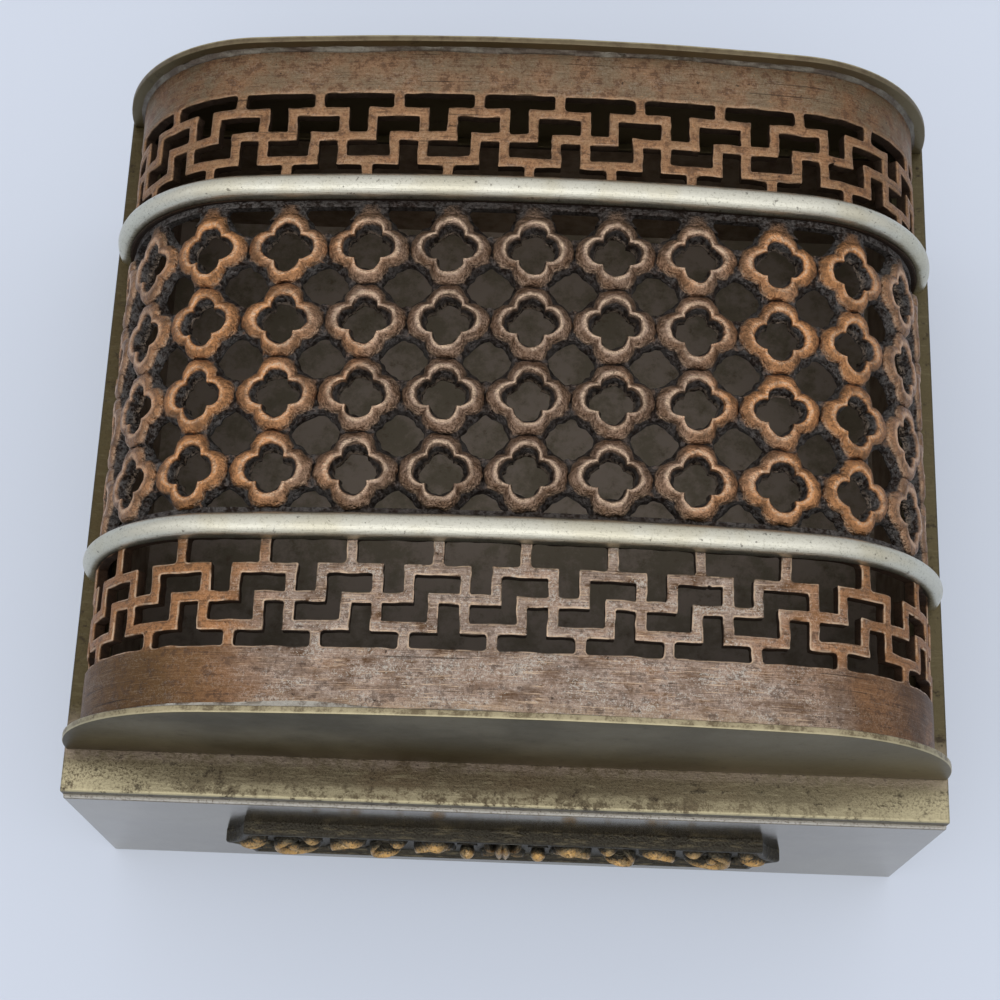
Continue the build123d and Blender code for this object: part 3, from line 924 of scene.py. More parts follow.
def box_clearance(x, y, low, high, radius):
    """Distance outside a rounded box, negative inside it."""
    half_x, half_y = (high[0] - low[0]) / 2, (high[1] - low[1]) / 2
    radius = min(radius, half_x, half_y)
    across = np.abs(x - (low[0] + high[0]) / 2) - half_x + radius
    deep = np.abs(y - (low[1] + high[1]) / 2) - half_y + radius
    outside = np.hypot(np.maximum(across, 0), np.maximum(deep, 0))
    return outside + np.minimum(np.maximum(across, deep), 0) - radius


def soft_least(first, second, reach):
    """Smaller of two distances, with the corner between them rounded."""
    blend = np.clip(0.5 + 0.5 * (second - first) / reach, 0, 1)
    return second * (1 - blend) + first * blend - reach * blend * (1 - blend)


def fret_clearance(shift, middle_y, low_reach, high_reach, limit):
    """Distance to the nearest hole of a key fret, as a function of place."""
    size = sizes("fret")
    half_bar = size.bar / 2
    wide = size.pitch / 2 - half_bar
    step = size.pitch / 2 - size.stem - size.bar
    shoulder = size.arm - half_bar
    outer = size.arm + half_bar
    half_stem = size.stem / 2
    stem_x = (size.stem + size.bar) / 2
    middle = size.pitch / 2
    turned = size.pitch - stem_x
    corner, flare = size.corner, 2.5 * size.corner
    holes = [
        [((middle - wide, -shoulder), (middle + step - half_bar, -half_bar), corner),
         ((middle + half_bar - step, -shoulder), (middle + step - half_bar, shoulder), corner),
         ((middle + half_bar - step, half_bar), (middle + wide, shoulder), corner)],
        [((stem_x - half_stem, half_bar), (stem_x + half_stem, high_reach - corner), corner),
         ((stem_x - wide, outer), (stem_x + wide, high_reach), flare)],
        [((turned - half_stem, corner - low_reach), (turned + half_stem, -half_bar), corner),
         ((turned - wide, -low_reach), (turned + wide, -outer), flare)],
    ]

    def clearance(x, y):
        wander = 0.07 * mm
        x = x + wander * waver(x, y, 5 * mm, 1)
        y = y - middle_y + wander * waver(x, y, 6 * mm, 2)
        phase = np.mod(x - shift, size.pitch)
        nearest = np.full_like(phase, 1.0)
        for turn in (-1, 0, 1):
            for hole in holes:
                inside = np.full_like(phase, 1.0)
                for low, high, radius in hole:
                    part = box_clearance(phase - turn * size.pitch, y, low, high, radius)
                    inside = soft_least(inside, part, 0.06 * mm)
                nearest = np.minimum(nearest, inside)
        nearest = np.maximum(nearest, np.abs(x) - limit)
        return nearest + 0.05 * mm * waver(x, y, 2.3 * mm, 3)

    return clearance


def snap_to_holes(piece, clearance, step):
    """Move the grid's points that lie near a hole's edge onto it, and delete the faces inside holes."""
    catch, farthest, nudge, least_slope = 0.55 * step, 0.6 * step, 0.02 * step, 0.25
    points = points_of(piece)
    room = clearance(points[:, 0], points[:, 1])
    near = np.abs(room) < catch
    start = points[near, :2].copy()
    for _ in range(3):
        x, y = points[near, 0], points[near, 1]
        gap = clearance(x, y)
        slope_x = (clearance(x + nudge, y) - clearance(x - nudge, y)) / (2 * nudge)
        slope_y = (clearance(x, y + nudge) - clearance(x, y - nudge)) / (2 * nudge)
        steep = np.maximum(slope_x**2 + slope_y**2, least_slope)
        points[near, 0] -= gap * slope_x / steep
        points[near, 1] -= gap * slope_y / steep
        points[near, :2] = start + np.clip(points[near, :2] - start, -farthest, farthest)
    set_points(piece, points)
    sign = np.where(near, 0, np.sign(room))
    begin_edit(piece, "FACE", "DESELECT")
    mesh = bmesh.from_edit_mesh(piece.data)
    mesh.verts.ensure_lookup_table()
    for face in list(mesh.faces):
        signs = [sign[corner.index] for corner in face.verts]
        if min(signs) < 0 < max(signs) and (signs[0] == signs[2] == 0 or signs[1] == signs[3] == 0):
            edge = [corner for corner in face.verts if sign[corner.index] == 0]
            bmesh.utils.face_split(face, edge[0], edge[1])
    for face in mesh.faces:
        signs = [sign[corner.index] for corner in face.verts]
        middle = face.calc_center_median()
        drop = min(signs) < 0
        if not drop and max(signs) == 0:
            drop = clearance(np.array([middle.x]), np.array([middle.y]))[0] < 0
        face.select_set(drop)
    bmesh.update_edit_mesh(piece.data)
    bpy.ops.mesh.delete(type="FACE")
    bpy.ops.mesh.select_mode(type="VERT")
    bpy.ops.mesh.select_all(action="SELECT")
    bpy.ops.mesh.remove_doubles(threshold=0.3 * step)
    bpy.ops.mesh.delete_loose(use_verts=True, use_edges=True, use_faces=False)
    end_edit()


def pierced_sheet(name, dome, node, shift, middle_y, low_reach, high_reach):
    """Fret sheet: a fine grid cut along the holes, thickened, its edges worn round, bent over the dome."""
    fret, copper = sizes("fret"), sizes("dome").copper
    low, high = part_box(node)
    half = dome.half_girth(0)
    clearance = fret_clearance(shift, middle_y, low_reach, high_reach, half - fret.foot)
    margin = 2 * fret.grain
    fine_low, fine_high = middle_y - low_reach - margin, middle_y + high_reach + margin
    coarse = 1.2 * mm
    ys = spaced(low.y, fine_low, coarse) + spaced(fine_low, fine_high, fret.grain)[1:]
    ys += spaced(fine_high, high.y, coarse)[1:]
    piece = grid_on_lines(name, spaced(-half, half, fret.grain), ys)
    snap_to_holes(piece, clearance, fret.grain)
    modify(piece, "SOLIDIFY", thickness=copper, offset=-1)
    points = points_of(piece)
    room = clearance(points[:, 0], points[:, 1])
    worn = np.clip(1 - room / fret.wear, 0, 1)
    top = points[:, 2] > -0.5 * copper
    points[top, 2] -= fret.wear * (1 - np.sqrt(1 - 0.999 * worn[top]**2)) * 0.8
    points[top, 2] += 0.03 * mm * waver(points[top, 0], points[top, 1], 4 * mm, 4)
    set_points(piece, points)
    note(piece, "room", np.clip(room, -1, 3 * mm))
    dome.bend(piece, 0)
    smooth(piece, 55)
    return piece


def foil_reach(angle, lobe_r, lobe_out):
    """Distance from the middle of a quatrefoil to its outline."""
    off = (angle + pi / 4) % (pi / 2) - pi / 4
    return lobe_out * cos(off) + sqrt(lobe_r**2 - (lobe_out * sin(off)) ** 2)


def cell_reach(angle, half_x, half_y):
    """Distance from the middle of a ring to the edge of its cell."""
    nearly_none = 1e-9
    return min(half_x / max(abs(cos(angle)), nearly_none), half_y / max(abs(sin(angle)), nearly_none))


def web_reach(angle, half_x, half_y, gap_x, gap_y):
    """Distance from the middle of a ring to the edge of its cell or of the gap in the cell's corner."""
    across, deep = abs(cos(angle)), abs(sin(angle))
    cell = cell_reach(angle, half_x, half_y)
    roundness = 1.35

    def outside(reach):
        x, y = (half_x - reach * across) / gap_x, (half_y - reach * deep) / gap_y
        return max(x, 0) ** roundness + max(y, 0) ** roundness > 1

    if outside(cell):
        return cell
    low, high = 0.0, cell
    for _ in range(40):
        middle = (low + high) / 2
        if outside(middle):
            low = middle
        else:
            high = middle
    return low


def quadrant_angles(half_x, half_y, gap_x, gap_y, count):
    """Angles of a ring's spokes. Some meet the points where the gaps touch the cell's edges."""
    first = atan2(half_y - gap_y, half_x)
    last = atan2(half_y, half_x - gap_x)
    stops = [0, first, pi / 4, last, pi / 2]
    quadrant = []
    for start, end in zip(stops, stops[1:]):
        quadrant += list(np.linspace(start, end, count, endpoint=False))
    mirrored = [pi - angle for angle in reversed(quadrant[1:] + [pi / 2])]
    half = quadrant + mirrored
    return half + [angle + pi for angle in half] + [2 * pi]


def ring_tile():
    """One quatrefoil ring on its cell of web, drawn flat about its own middle."""
    size = sizes("lattice")
    half_x, half_y = size.column_pitch / 2, size.row_pitch / 2
    bottom = -sizes("dome").copper
    crest = size.crest
    rows = []
    for angle in quadrant_angles(half_x, half_y, size.gap_x, size.gap_y, 7):
        edge = web_reach(angle, half_x, half_y, size.gap_x, size.gap_y)
        brink = foil_reach(angle, size.crest_r, size.crest_out)
        hole = min(foil_reach(angle, size.hole_r, size.hole_out), brink - 0.2 * mm)
        touching = edge >= cell_reach(angle, half_x, half_y) - 1e-9
        outer = min(foil_reach(angle, size.outer_r, size.outer_out), edge - (0.12 if touching else 0.3) * mm)
        slope, flank, top = brink - hole, edge - outer, outer - brink
        foot = -size.groove if touching else bottom
        fall = -0.6 * size.groove if touching else -0.3 * mm
        profile = [
            (hole, bottom), (hole, bottom + 0.25 * mm), (hole + 0.05 * mm, bottom + 0.4 * mm),
            (hole + 0.35 * slope, bottom + 0.95 * mm), (hole + 0.75 * slope, bottom + 1.5 * mm),
            (brink, crest - 0.45 * mm), (brink + 0.08 * top, crest - 0.14 * mm), (brink + 0.18 * top, crest),
            (brink + 0.3 * top, crest - 0.04 * mm), (brink + 0.52 * top, crest - 0.26 * mm),
            (brink + 0.82 * top, crest - 0.5 * mm), (outer, crest - 0.86 * mm),
            (outer + 0.2 * flank, fall), (outer + 0.65 * flank, 0.5 * (fall + foot)),
            (edge, max(foot, bottom + 0.3 * mm)), (edge, bottom), (hole, bottom),
        ]
        rows.append([(reach * cos(angle), reach * sin(angle), lift) for reach, lift in profile])
    return skin("ring_tile", rows)


def lattice(dome):
    """Lattice: one ring copied over the rows and columns, made a little uneven, bent over the dome."""
    size = sizes("lattice")
    piece = ring_tile()
    points = points_of(piece)
    radius = np.hypot(points[:, 0], points[:, 1])
    angle = np.arctan2(points[:, 1], points[:, 0])
    lobes = ((size.crest_r, size.crest_out), (size.outer_r, size.outer_out), (size.hole_r, size.hole_out))
    brink, outer, hole = (np.array([foil_reach(turn, *lobe) for turn in angle]) for lobe in lobes)
    share = (radius - brink) / (outer - brink)
    high_up = points[:, 2] > 0.1 * mm
    ridge = np.clip(1.25 - np.abs(share - 0.2) / 0.24, 0, 1) * high_up
    # Worn edges with a painted highlight: thin pale lines along the outer lobes and the holes' lower edges.
    burr = np.clip(1 - np.abs(radius - outer) / (0.12 * mm), 0, 1) * (points[:, 2] > -0.1 * mm) * 0.8
    low_edge = np.abs(points[:, 2] + sizes("dome").copper - 0.3 * mm) < 0.15 * mm
    burr = np.maximum(burr, np.clip(1 - np.abs(radius - hole) / (0.15 * mm), 0, 1) * low_edge)
    note(piece, "ridge", ridge)
    note(piece, "burr", burr)
    note(piece, "inner", np.clip(-share / 0.06, 0, 1))
    for count, pitch in ((size.columns, (size.column_pitch, 0, 0)), (size.rows, (0, size.row_pitch, 0))):
        modify(piece, "ARRAY", count=count, use_relative_offset=False, use_constant_offset=True,
               constant_offset_displace=pitch, use_merge_vertices=True, merge_threshold=merge_reach)
    begin_edit(piece, "FACE", "DESELECT")
    mesh = bmesh.from_edit_mesh(piece.data)

    def between(place, pitch, count):
        line = place / pitch + 0.5
        return abs(line - round(line)) < 1e-5 and 0 < round(line) < count

    for face in mesh.faces:
        middle = face.calc_center_median()
        shared = (between(middle.x, size.column_pitch, size.columns)
                  or between(middle.y, size.row_pitch, size.rows))
        face.select_set(abs(face.normal.z) < 0.2 and shared)
    bmesh.update_edit_mesh(piece.data)
    bpy.ops.mesh.delete(type="FACE")
    end_edit()
    piece.name = piece.data.name = "quatrefoil_lattice"
    points = points_of(piece)
    points[:, 0] += size.shift - (size.columns - 1) / 2 * size.column_pitch
    points[:, 1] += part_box("lattice_panel")[0].y + size.front_gap
    x, y = points[:, 0].copy(), points[:, 1].copy()
    lift = points[:, 2]
    deep = np.clip((0.2 * mm - lift) / (0.8 * mm), 0, 1)
    drift, shake = 0.14 * mm, (0.06 + 0.1 * deep) * mm
    for axis, seed in ((0, 11), (1, 13)):
        points[:, axis] += drift * waver(x, y, 6 * mm, seed) + shake * waver(x, y, 1.5 * mm, seed + 1)
    worn = np.clip((np.abs(x) + 6 * mm * waver(x, y, 14 * mm, 17) - 14 * mm) / (14 * mm), 0, 1)
    points[:, 2] = np.minimum(lift, size.crest - (0.05 + 0.3 * worn) * mm)
    top = lift > -1.0 * mm
    rough = 0.06 * mm * waver(x, y, 7 * mm, 15) + (0.035 + 0.08 * deep) * mm * waver(x, y, 1.1 * mm, 16)
    points[top, 2] += rough[top]
    limit = dome.half_girth(size.crest) - 0.02 * mm
    points[:, 0] = np.clip(points[:, 0], -limit, limit)
    set_points(piece, points)
    dome.bend(piece, size.crest, size.tuck)
    smooth(piece, 60)
    return piece


def lattice_border(dome):
    """Plain strips of the casting along both bands, with the lobes that reach them."""
    size = sizes("lattice")
    low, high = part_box("lattice_panel")
    first = low.y + size.front_gap - size.row_pitch / 2
    last = low.y + size.front_gap + (size.rows - 0.5) * size.row_pitch
    bottom, web = -sizes("dome").copper, -0.38 * mm
    rear_strip = 0.9 * mm
    full_dirt, little_dirt = 0.85, 0.1
    pieces = []
    for start, end in ((low.y, first + 0.25 * mm), (high.y - rear_strip, high.y)):
        profile = [(start, bottom), (start, web), (end, web), (end, bottom)]
        pieces.append(sweep("border_strip", dome, profile, tuck=size.tuck))
    half_stem = size.column_pitch / 2 - size.gap_x + 0.35 * mm
    for column in range(size.columns):
        middle = size.shift + (column - (size.columns - 1) / 2) * size.column_pitch
        if abs(middle) > dome.half_girth(0) - half_stem:
            continue
        rows = []
        for share in np.linspace(0, 1, 7):
            depth = last - 0.9 * mm + share * (high.y - last + 0.3 * mm)
            top = 0.1 * mm - 0.35 * mm * share
            width = half_stem * (1.05 - 0.25 * sin(pi * share))
            row = [(middle + width * turn, depth, top - 0.5 * mm * turn**2) for turn in np.linspace(-1, 1, 9)]
            row += [(middle + width, depth, bottom), (middle - width, depth, bottom), row[0]]
            rows.append(row)
        stem = skin("border_lobe", rows)
        close_ends(stem)
        dome.bend(stem, 0, size.tuck)
        pieces.append(stem)
    half = dome.half_girth(size.crest)
    left_edge = size.shift - size.columns / 2 * size.column_pitch
    if left_edge > -half:
        foot = grid_on_lines("border_foot", spaced(-half, left_edge + 0.25 * mm, 0.7 * mm), [low.y, high.y])
        points = points_of(foot)
        points[:, 2] = web - 0.04 * mm
        set_points(foot, points)
        modify(foot, "SOLIDIFY", thickness=web - bottom, offset=-1)
        dome.bend(foot, size.crest, size.tuck)
        pieces.append(foot)
    piece = join("lattice_border", pieces)
    flat = np.empty(len(piece.data.vertices) * 3)
    piece.data.attributes["flat"].data.foreach_get("vector", flat)
    note(piece, "inner", np.where(flat[2::3] < -0.3 * mm, full_dirt, little_dirt))
    note(piece, "ridge", 0)
    note(piece, "burr", 0)
    smooth(piece, 40)
    return piece


def half_round(dome, name, node):
    """Half-round band over the dome. It sinks and thins a little towards its feet."""
    low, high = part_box(node)
    middle, half = (low.y + high.y) / 2, (high.y - low.y) / 2
    height = sizes("dome").band_height
    profile = []
    for turn in range(13):
        angle = pi * turn / 12
        profile.append((middle - half * cos(angle), height * sin(angle) ** 0.8))
    profile += [(middle + side * 0.8 * half, -0.5 * mm) for side in (1, -1)]
    thin_from, thin_over = 30 * mm, 24 * mm

    def thin(run, depth, lift):
        share = min(max((abs(run) - thin_from) / thin_over, 0), 1)
        return middle + (depth - middle) * (1 - 0.2 * share), max(lift, 0) * (1 - 0.04 * share) + min(lift, 0)

    piece = sweep(name, dome, profile, tuck=sizes("dome").band_tuck, swell=thin)
    smooth(piece, 60)
    return piece


def solder_line(dome, name, face_y, side):
    """Rough bead in the corner between the copper and an end plate. side is 1 behind the plate."""
    width = sizes("dome").solder
    bead = ((0, -0.1), (0, 0.6), (0.25, 0.42), (0.6, 0.22), (1, 0.04), (1, -0.1))
    profile = [(face_y + side * out * width, lift * mm) for out, lift in bead]

    def swell(run, depth, lift):
        wide = 0.65 + 0.25 * waver(run, 0, 16 * mm, 21)
        if side > 0:
            wide += 0.8 * exp(-((run + 28 * mm) / (12 * mm)) ** 2)
        return face_y + (depth - face_y) * wide, lift

    piece = sweep(name, dome, profile, unevenness=0.12 * mm, step=0.35 * mm, swell=swell)
    smooth(piece, 60)
    return piece


def plaque_loop(inset, back):
    """Outline of the plaque, drawn in at an inset, at one distance out from the wall."""
    low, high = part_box("front_plaque")
    size = sizes("plaque")
    wall_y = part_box("front_wall")[0].y
    middle_z = (low.z + high.z) / 2
    half_height = (high.z - low.z) / 2 - inset
    tip = high.x - 1.5 * inset
    corner = high.x - size.point - inset
    half = [(x, half_height) for x in np.linspace(-corner, corner, 41)]
    shares = np.linspace(0, 1, 9)
    for share in shares[1:]:
        bow = 0.18 * sin(pi * share)
        half.append((corner + (tip - corner) * (share - bow), half_height * (1 - share - bow * 0.5)))
    for share in shares[1:-1]:
        bow = 0.18 * sin(pi * share)
        half.append((tip + (corner - tip) * (share + bow), -half_height * (share - bow * 0.5)))
    points = half + [(-x, -z) for x, z in half] + half[:1]
    return [(x, wall_y - back, middle_z + z) for x, z in points]


def plaque_plate():
    """Plate of the plaque: a field in a raised frame with a thin step inside."""
    size = sizes("plaque")
    top, field = size.frame_t, size.field_t
    width = size.frame_width
    steps = (
        (0, 0), (0, top - 0.35 * mm), (0.1 * mm, top - 0.12 * mm), (0.3 * mm, top),
        (width * 0.5, top), (width * 0.62, top - 0.25 * mm), (width * 0.95, top - 0.3 * mm),
        (width * 1.1, field + 0.1 * mm), (width * 1.2, field),
    )
    piece = skin("plaque_plate", [plaque_loop(inset, back) for inset, back in steps])
    close_ends(piece)
    weld(piece)
    return piece


def pointed_skin(rings, first, last):
    """Surface through rings of points, closed by a point at each end."""
    across = len(rings[0])
    return skin("relief", [[first] * across, *rings, [last] * across])


def relief_tube(path, width, height, base_y):
    """Rounded strand that lies half sunk in the field. path is in X and Z, and its ends run out thin."""
    path = np.asarray(path)
    count = len(path)
    tangent = np.gradient(path, axis=0)
    tangent /= np.linalg.norm(tangent, axis=1)[:, None]
    rows = []
    for index in range(count):
        share = index / (count - 1)
        swell = max(sin(pi * min(share * 1.15 + 0.02, 1)) ** 0.6, 0.02)
        normal = (-tangent[index][1], tangent[index][0])
        row = []
        for turn in range(13):
            angle = 2 * pi * turn / 12
            off = cos(angle) * width * swell
            out = sin(angle) * height * swell
            row.append((path[index][0] + normal[0] * off, base_y - out, path[index][1] + normal[1] * off))
        rows.append(row)
    return pointed_skin(rows, (path[0][0], base_y, path[0][1]), (path[-1][0], base_y, path[-1][1]))


def spiral(radius, start, turn, tightness):
    """Path that winds in about its middle, in X and Z. start and turn are in degrees."""
    path = []
    for share in np.linspace(0, 1, 30):
        angle = radians(start + turn * share)
        reach = radius * (1 - (1 - tightness) * share**0.8)
        path.append((reach * cos(angle), reach * sin(angle)))
    return path


def leaf(root, tip, width, height, base_y, lobes=3):
    """Leaf with lobed sides, a raised back and a sunk rib, from its root to its tip in X and Z."""
    root, tip = np.asarray(root, float), np.asarray(tip, float)
    along = tip - root
    side = np.array((-along[1], along[0])) / hypot(*along)
    rows = []
    for share in np.linspace(0, 1, 15):
        taper = max(sin(pi * min(0.08 + share * 0.92, 1)), 0.06) ** 0.75
        spread = width * taper * (1 + 0.22 * abs(sin(pi * lobes * share)))
        arch = height * (0.35 + 0.65 * sin(pi * min(share * 0.8 + 0.1, 1))) * min(1, 0.25 + 4 * (1 - share))
        middle = root + along * share
        row = []
        for turn in range(17):
            angle = 2 * pi * turn / 16
            off = cos(angle) * spread
            rib = 1 - 0.35 * max(0, 1 - abs(off) / (0.25 * width))
            out = sin(angle) * arch * (rib if sin(angle) > 0 else 1)
            row.append((middle[0] + side[0] * off, base_y - out, middle[1] + side[1] * off))
        rows.append(row)
    return pointed_skin(rows, (root[0], base_y, root[1]), (tip[0], base_y, tip[1]))


def boss(centre, radius, base_y):
    """Round boss on a small collar."""
    rows = []
    profile = [(0.0, 0.0), (1.35, 0.0), (1.35, 0.35), (1.15, 0.45), (0.85, 0.4), (0.95, 0.75), (1.0, 1.1),
               (0.9, 1.5), (0.65, 1.78), (0.35, 1.93), (0.0, 2.0)]
    for turn in range(21):
        angle = 2 * pi * turn / 20
        rows.append([(centre[0] + radius * reach * cos(angle), base_y + 0.1 * mm - radius * out * 1.1,
                      centre[1] + radius * reach * sin(angle)) for reach, out in profile])
    return skin("boss", rows)


def ornament():
    """Scrolls, leaves and bosses of the plaque, mirrored about the middle leaf."""
    low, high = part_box("front_plaque")
    size = sizes("plaque")
    base_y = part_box("front_wall")[0].y - size.field_t + 0.1 * mm
    z = (low.z + high.z) / 2
    rise = size.relief
    made = [
        leaf((0, z - 1.0 * mm), (0, z + 4.4 * mm), 1.1 * mm, rise * 1.05, base_y, 4),
        leaf((0, z - 0.6 * mm), (0, z - 4.4 * mm), 1.1 * mm, rise * 0.8, base_y, 2),
    ]
    for side in (1, -1):
        def at(x, up):
            return (side * x * mm, z + up * mm)

        def wind(x, up, radius, start, turn, width, tightness=0.32, lift=1.0):
            centre = at(x, up)
            turns = spiral(radius * mm, start, turn, tightness)
            path = [(centre[0] + side * px, centre[1] + pz) for px, pz in turns]
            made.append(relief_tube(path, width * mm, rise * lift, base_y))

        def sprig(x0, up0, x1, up1, width, lobes=3, lift=1.0):
            made.append(leaf(at(x0, up0), at(x1, up1), width * mm, rise * lift, base_y, lobes))

        def hump(x0, x1, up, bow, width, lift=1.0):
            path = [at(x0 + (x1 - x0) * share, up + bow * sin(pi * share)) for share in np.linspace(0, 1, 16)]
            made.append(relief_tube(path, width * mm, rise * lift, base_y))

        sprig(0.9, 0.2, 2.6, 3.9, 0.55, 2, 0.7)
        sprig(0.8, -0.8, 3.2, -3.4, 0.75, 2, 0.6)
        made.append(boss(at(4.9, 0.8), 1.05 * mm, base_y))
        wind(10.0, 0.3, 3.4, -160, -330, 0.5, lift=0.85)
        sprig(6.6, -1.8, 11.6, -4.4, 0.8, 4, 0.5)
        hump(7.0, 12.0, 2.4, 1.8, 0.7)
        wind(16.6, -0.4, 2.6, 160, 340, 0.5, lift=0.95)
        hump(13.0, 16.4, 3.0, 1.0, 0.5, 0.8)
        hump(18.6, 23.4, 2.9, 1.2, 0.6, 0.9)
        sprig(16.4, -3.4, 19.4, -4.5, 0.6, 2, 0.5)
        wind(21.8, 0.9, 2.9, -165, -340, 0.5, lift=0.9)
        sprig(20.4, -2.6, 25.0, -4.4, 0.8, 4, 0.5)
        wind(29.0, -0.2, 4.0, 165, 380, 0.6, 0.25, lift=0.9)
        made.append(boss(at(29.0, -0.2), 0.8 * mm, base_y))
        hump(24.6, 28.2, 3.4, 0.9, 0.5, 0.8)
        sprig(31.6, -3.6, 34.2, -2.2, 0.7, 3, 0.5)
        sprig(32.6, 1.0, 37.0, 0.2, 1.0, 4, 0.9)
        sprig(32.4, 2.6, 34.6, 4.2, 0.6, 3, 0.7)
    return made


class TRINKET_OT_fret_sheets(bpy.types.Operator):
    """Model both pierced fret sheets"""
    bl_idname = "trinket.fret_sheets"
    bl_label = "Fret sheets"

    def execute(self, context):
        fret, dome = sizes("fret"), Dome()
        front_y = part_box("front_band")[0].y - fret.front_high
        rear_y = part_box("rear_band")[1].y + fret.rear_low
        front = pierced_sheet("front_fret", dome, "front_fret_sheet", fret.front_shift, front_y,
                              fret.front_low, fret.front_high + fret.under_band)
        rear = pierced_sheet("rear_fret", dome, "rear_fret_sheet", fret.rear_shift, rear_y,
                             fret.rear_low + fret.under_band, fret.rear_high)
        finished(front, "lid", "fret_copper", "front_fret_sheet")
        finished(rear, "lid", "fret_copper", "rear_fret_sheet")
        return {"FINISHED"}


class TRINKET_OT_lattice(bpy.types.Operator):
    """Model the cast lattice of quatrefoil rings and its borders"""
    bl_idname = "trinket.lattice"
    bl_label = "Lattice"

    def execute(self, context):
        dome = Dome()
        finished(lattice(dome), "lid", "lattice_copper", "lattice_panel")
        finished(lattice_border(dome), "lid", "lattice_copper", "lattice_panel")
        return {"FINISHED"}


class TRINKET_OT_bands(bpy.types.Operator):
    """Model both half-round bands"""
    bl_idname = "trinket.bands"
    bl_label = "Bands"

    def execute(self, context):
        dome = Dome()
        for name in ("front", "rear"):
            band = half_round(dome, name + "_half_round", name + "_band")
            finished(band, "lid", "band_metal", name + "_band")
        return {"FINISHED"}


class TRINKET_OT_end_plates(bpy.types.Operator):
    """Soften the end plates and lay their solder lines"""
    bl_idname = "trinket.end_plates"
    bl_label = "End plates"

    def execute(self, context):
        dome = Dome()
        for name in ("front", "rear"):
            plate = from_node(name + "_plate", name + "_end_plate", 0.14 * mm, 3)
            finished(plate, "lid", "lid_brass", name + "_end_plate")
        front_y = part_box("front_end_plate")[1].y
        rear_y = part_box("rear_end_plate")[0].y
        for name, face_y, side in (("front_solder", front_y, 1), ("rear_solder", rear_y, -1)):
            finished(solder_line(dome, name, face_y, side), "lid", "lid_brass", look="solder")
        return {"FINISHED"}


class TRINKET_OT_flange(bpy.types.Operator):
    """Soften the lid's flange"""
    bl_idname = "trinket.flange"
    bl_label = "Flange"

    def execute(self, context):
        flange = from_node("flange", "lid_flange", 0.12 * mm)
        finished(flange, "lid", "lid_brass", "lid_flange", look="flange")
        return {"FINISHED"}


class TRINKET_OT_body(bpy.types.Operator):
    """Soften the walls at the corners of the box and finish its floor"""
    bl_idname = "trinket.body"
    bl_label = "Box body"

    def execute(self, context):
        low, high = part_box("front_wall")
        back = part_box("back_wall")[1].y
        radius = 0.3 * mm

        def at_corner(place):
            to_side = abs(abs(place.x) - high.x)
            to_end = min(abs(place.y - low.y), abs(place.y - back))
            return max(to_side, to_end) < radius

        for node in ("front_wall", "back_wall", "left_wall", "right_wall"):
            wall = from_node(node + "_sheet", node, radius, 3, chosen=at_corner)
            finished(wall, "box", "wall_brass", node)
        wear(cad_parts["floor_plate"], "floor_brass")
        return {"FINISHED"}


class TRINKET_OT_plaque(bpy.types.Operator):
    """Model the cast plaque with its scrolls, leaves and bosses"""
    bl_idname = "trinket.plaque"
    bl_label = "Plaque"

    def execute(self, context):
        plate, relief = plaque_plate(), ornament()
        note(plate, "relief", 0)
        for piece in relief:
            note(piece, "relief", 1)
        plaque = join("cast_plaque", [plate, *relief])
        smooth(plaque, 50)
        finished(plaque, "box", "plaque_brass", "front_plaque")
        return {"FINISHED"}


class TRINKET_OT_hinge(bpy.types.Operator):
    """Soften the leaves and the pin of the hinge"""
    bl_idname = "trinket.hinge"
    bl_label = "Hinge"

    def execute(self, context):
        for node, body in (("body_hinge_leaf", "box"), ("lid_hinge_leaf", "lid"), ("hinge_pin", "box")):
            finished(from_node(node + "_brass", node, 0.1 * mm), body, "hinge_brass", node)
        return {"FINISHED"}


def table_top(stage):
    """Pale table that lights itself a little for the camera, and for what mirrors it or lets it through."""
    paper = Finish("table top")
    pale = tuple(stage.table)
    matt = paper.node("ShaderNodeBsdfPrincipled", {"Base Color": pale, "Roughness": 0.7})
    glow = paper.node("ShaderNodeEmission", {"Color": pale, "Strength": 1.0})
    rays = paper.node("ShaderNodeLightPath").outputs
    seen = Number(paper, rays["Is Camera Ray"])
    for kind in ("Is Glossy Ray", "Is Transmission Ray"):
        seen = seen.most(Number(paper, rays[kind]))
    even = paper.node("ShaderNodeMixShader", {0: seen * stage.glow, 1: matt.outputs[0], 2: glow.outputs[0]})
    paper.node("ShaderNodeOutputMaterial", {"Surface": even.outputs[0]})
    return paper.material


def soft_room(stage):
    """Pale room that is brightest overhead, with a window up in front."""
    room = Finish("soft room", bpy.data.worlds.new("soft room"))
    across, back, up = room.parts(room.node("ShaderNodeTexCoord").outputs["Generated"])
    bright = stage.level + up.step(0.0, 1.0) * (stage.overhead - stage.level)
    bright = bright * (1 - back * 0.12)
    toward_window = across * -0.1 + back * -0.5 + up * 0.86
    bright = bright + toward_window.step(0.8, 0.97) * stage.window
    light = room.node("ShaderNodeBackground", {"Color": srgb(250, 250, 255), "Strength": bright})
    room.node("ShaderNodeOutputWorld", {"Surface": light.outputs[0]})
    return room.material


def window_light(name, place, extent, power):
    """Rectangular light of a power in watts that looks at the middle of the box."""
    box_middle = Vector((0, 0, 0.04))
    bpy.ops.object.light_add(type="AREA", location=place)
    light = take(name)
    light.data.shape = "RECTANGLE"
    light.data.size, light.data.size_y = extent
    light.data.energy = power
    light.rotation_euler = (box_middle - Vector(place)).to_track_quat("-Z", "Y").to_euler()


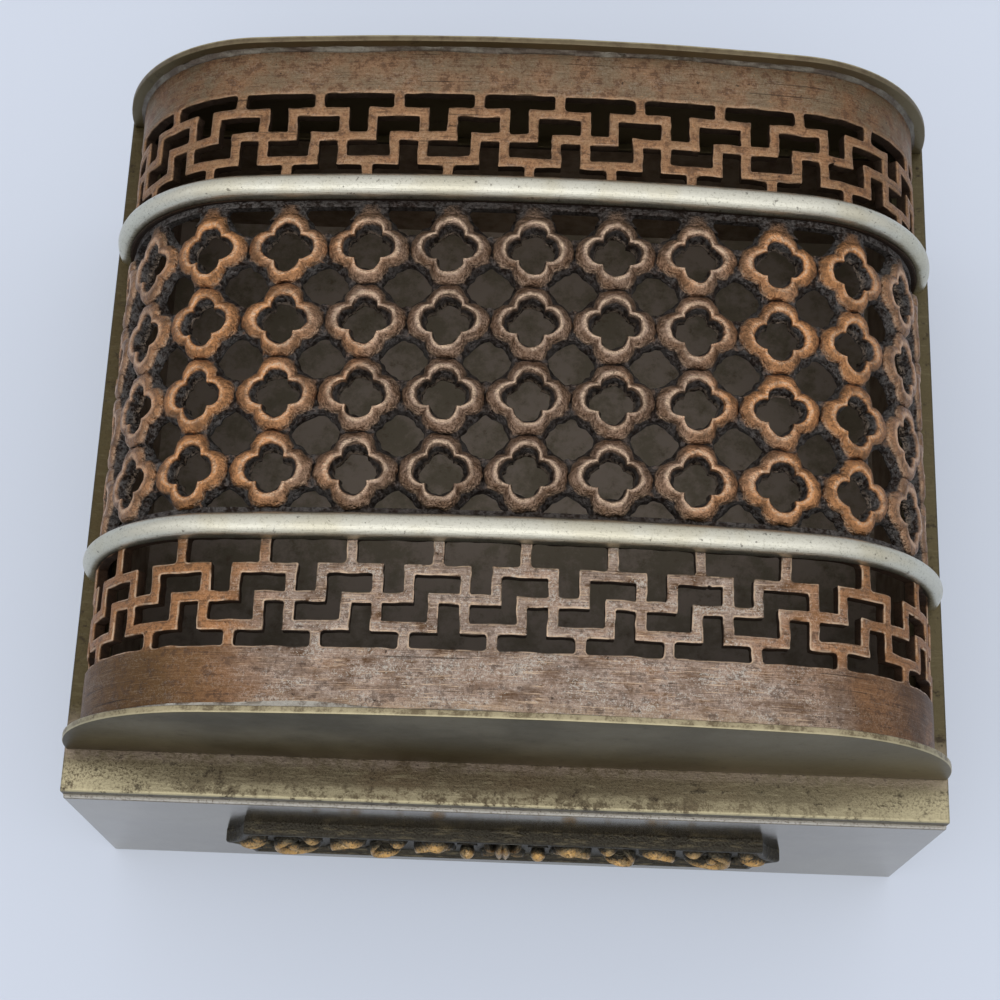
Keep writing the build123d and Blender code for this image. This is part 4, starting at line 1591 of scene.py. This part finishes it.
class TRINKET_OT_stage(bpy.types.Operator):
    """Set the table, the soft lights and the camera"""
    bl_idname = "trinket.stage"
    bl_label = "Stage"

    def execute(self, context):
        stage = sizes("stage")
        scene = context.scene
        scene.view_settings.view_transform = "Standard"
        bpy.ops.mesh.primitive_plane_add(size=6, location=(0, 0, -0.05 * mm))
        table = take("table")
        table.data.materials.append(table_top(stage))
        scene.world = soft_room(stage)
        window_light("front window", (-0.1, -0.72, 1.15), (1.2, 0.45), 1.0)
        window_light("left window", (-1.0, 0.1, 0.9), (0.5, 0.6), 0.3)
        bpy.ops.object.camera_add(location=stage.camera_place, rotation=stage.camera_turn)
        camera = take("camera")
        camera.data.lens = stage.lens
        camera.data.sensor_width = 36
        camera.data.clip_start = 0.01
        scene.camera = camera
        return {"FINISHED"}


class TRINKET_PT_panel(bpy.types.Panel):
    """Steps of the trinket box"""
    bl_idname = "TRINKET_PT_panel"
    bl_label = "Trinket Box"
    bl_space_type = "VIEW_3D"
    bl_region_type = "UI"
    bl_category = "Trinket Box"

    def draw(self, context):
        for operator in OPERATORS:
            self.layout.operator(operator.bl_idname)


GROUPS = {
    "dome": DomeSizes,
    "fret": FretSizes,
    "lattice": LatticeSizes,
    "plaque": PlaqueSizes,
    "metals": MetalColours,
    "stage": StageSizes,
}
OPERATORS = (
    TRINKET_OT_fret_sheets,
    TRINKET_OT_lattice,
    TRINKET_OT_bands,
    TRINKET_OT_end_plates,
    TRINKET_OT_flange,
    TRINKET_OT_body,
    TRINKET_OT_plaque,
    TRINKET_OT_hinge,
    TRINKET_OT_stage,
)
CLASSES = (*GROUPS.values(), *OPERATORS, TRINKET_PT_panel)


def register():
    for made in CLASSES:
        bpy.utils.register_class(made)
    for name, group in GROUPS.items():
        setattr(bpy.types.Scene, "trinket_" + name, PointerProperty(type=group))


def unregister():
    for name in GROUPS:
        delattr(bpy.types.Scene, "trinket_" + name)
    for made in reversed(CLASSES):
        bpy.utils.unregister_class(made)


def main():
    register()
    bpy.ops.trinket.fret_sheets()
    bpy.ops.trinket.lattice()
    bpy.ops.trinket.bands()
    bpy.ops.trinket.end_plates()
    bpy.ops.trinket.flange()
    bpy.ops.trinket.body()
    bpy.ops.trinket.plaque()
    bpy.ops.trinket.hinge()
    bpy.ops.trinket.stage()


if __name__ == "__main__":
    main()
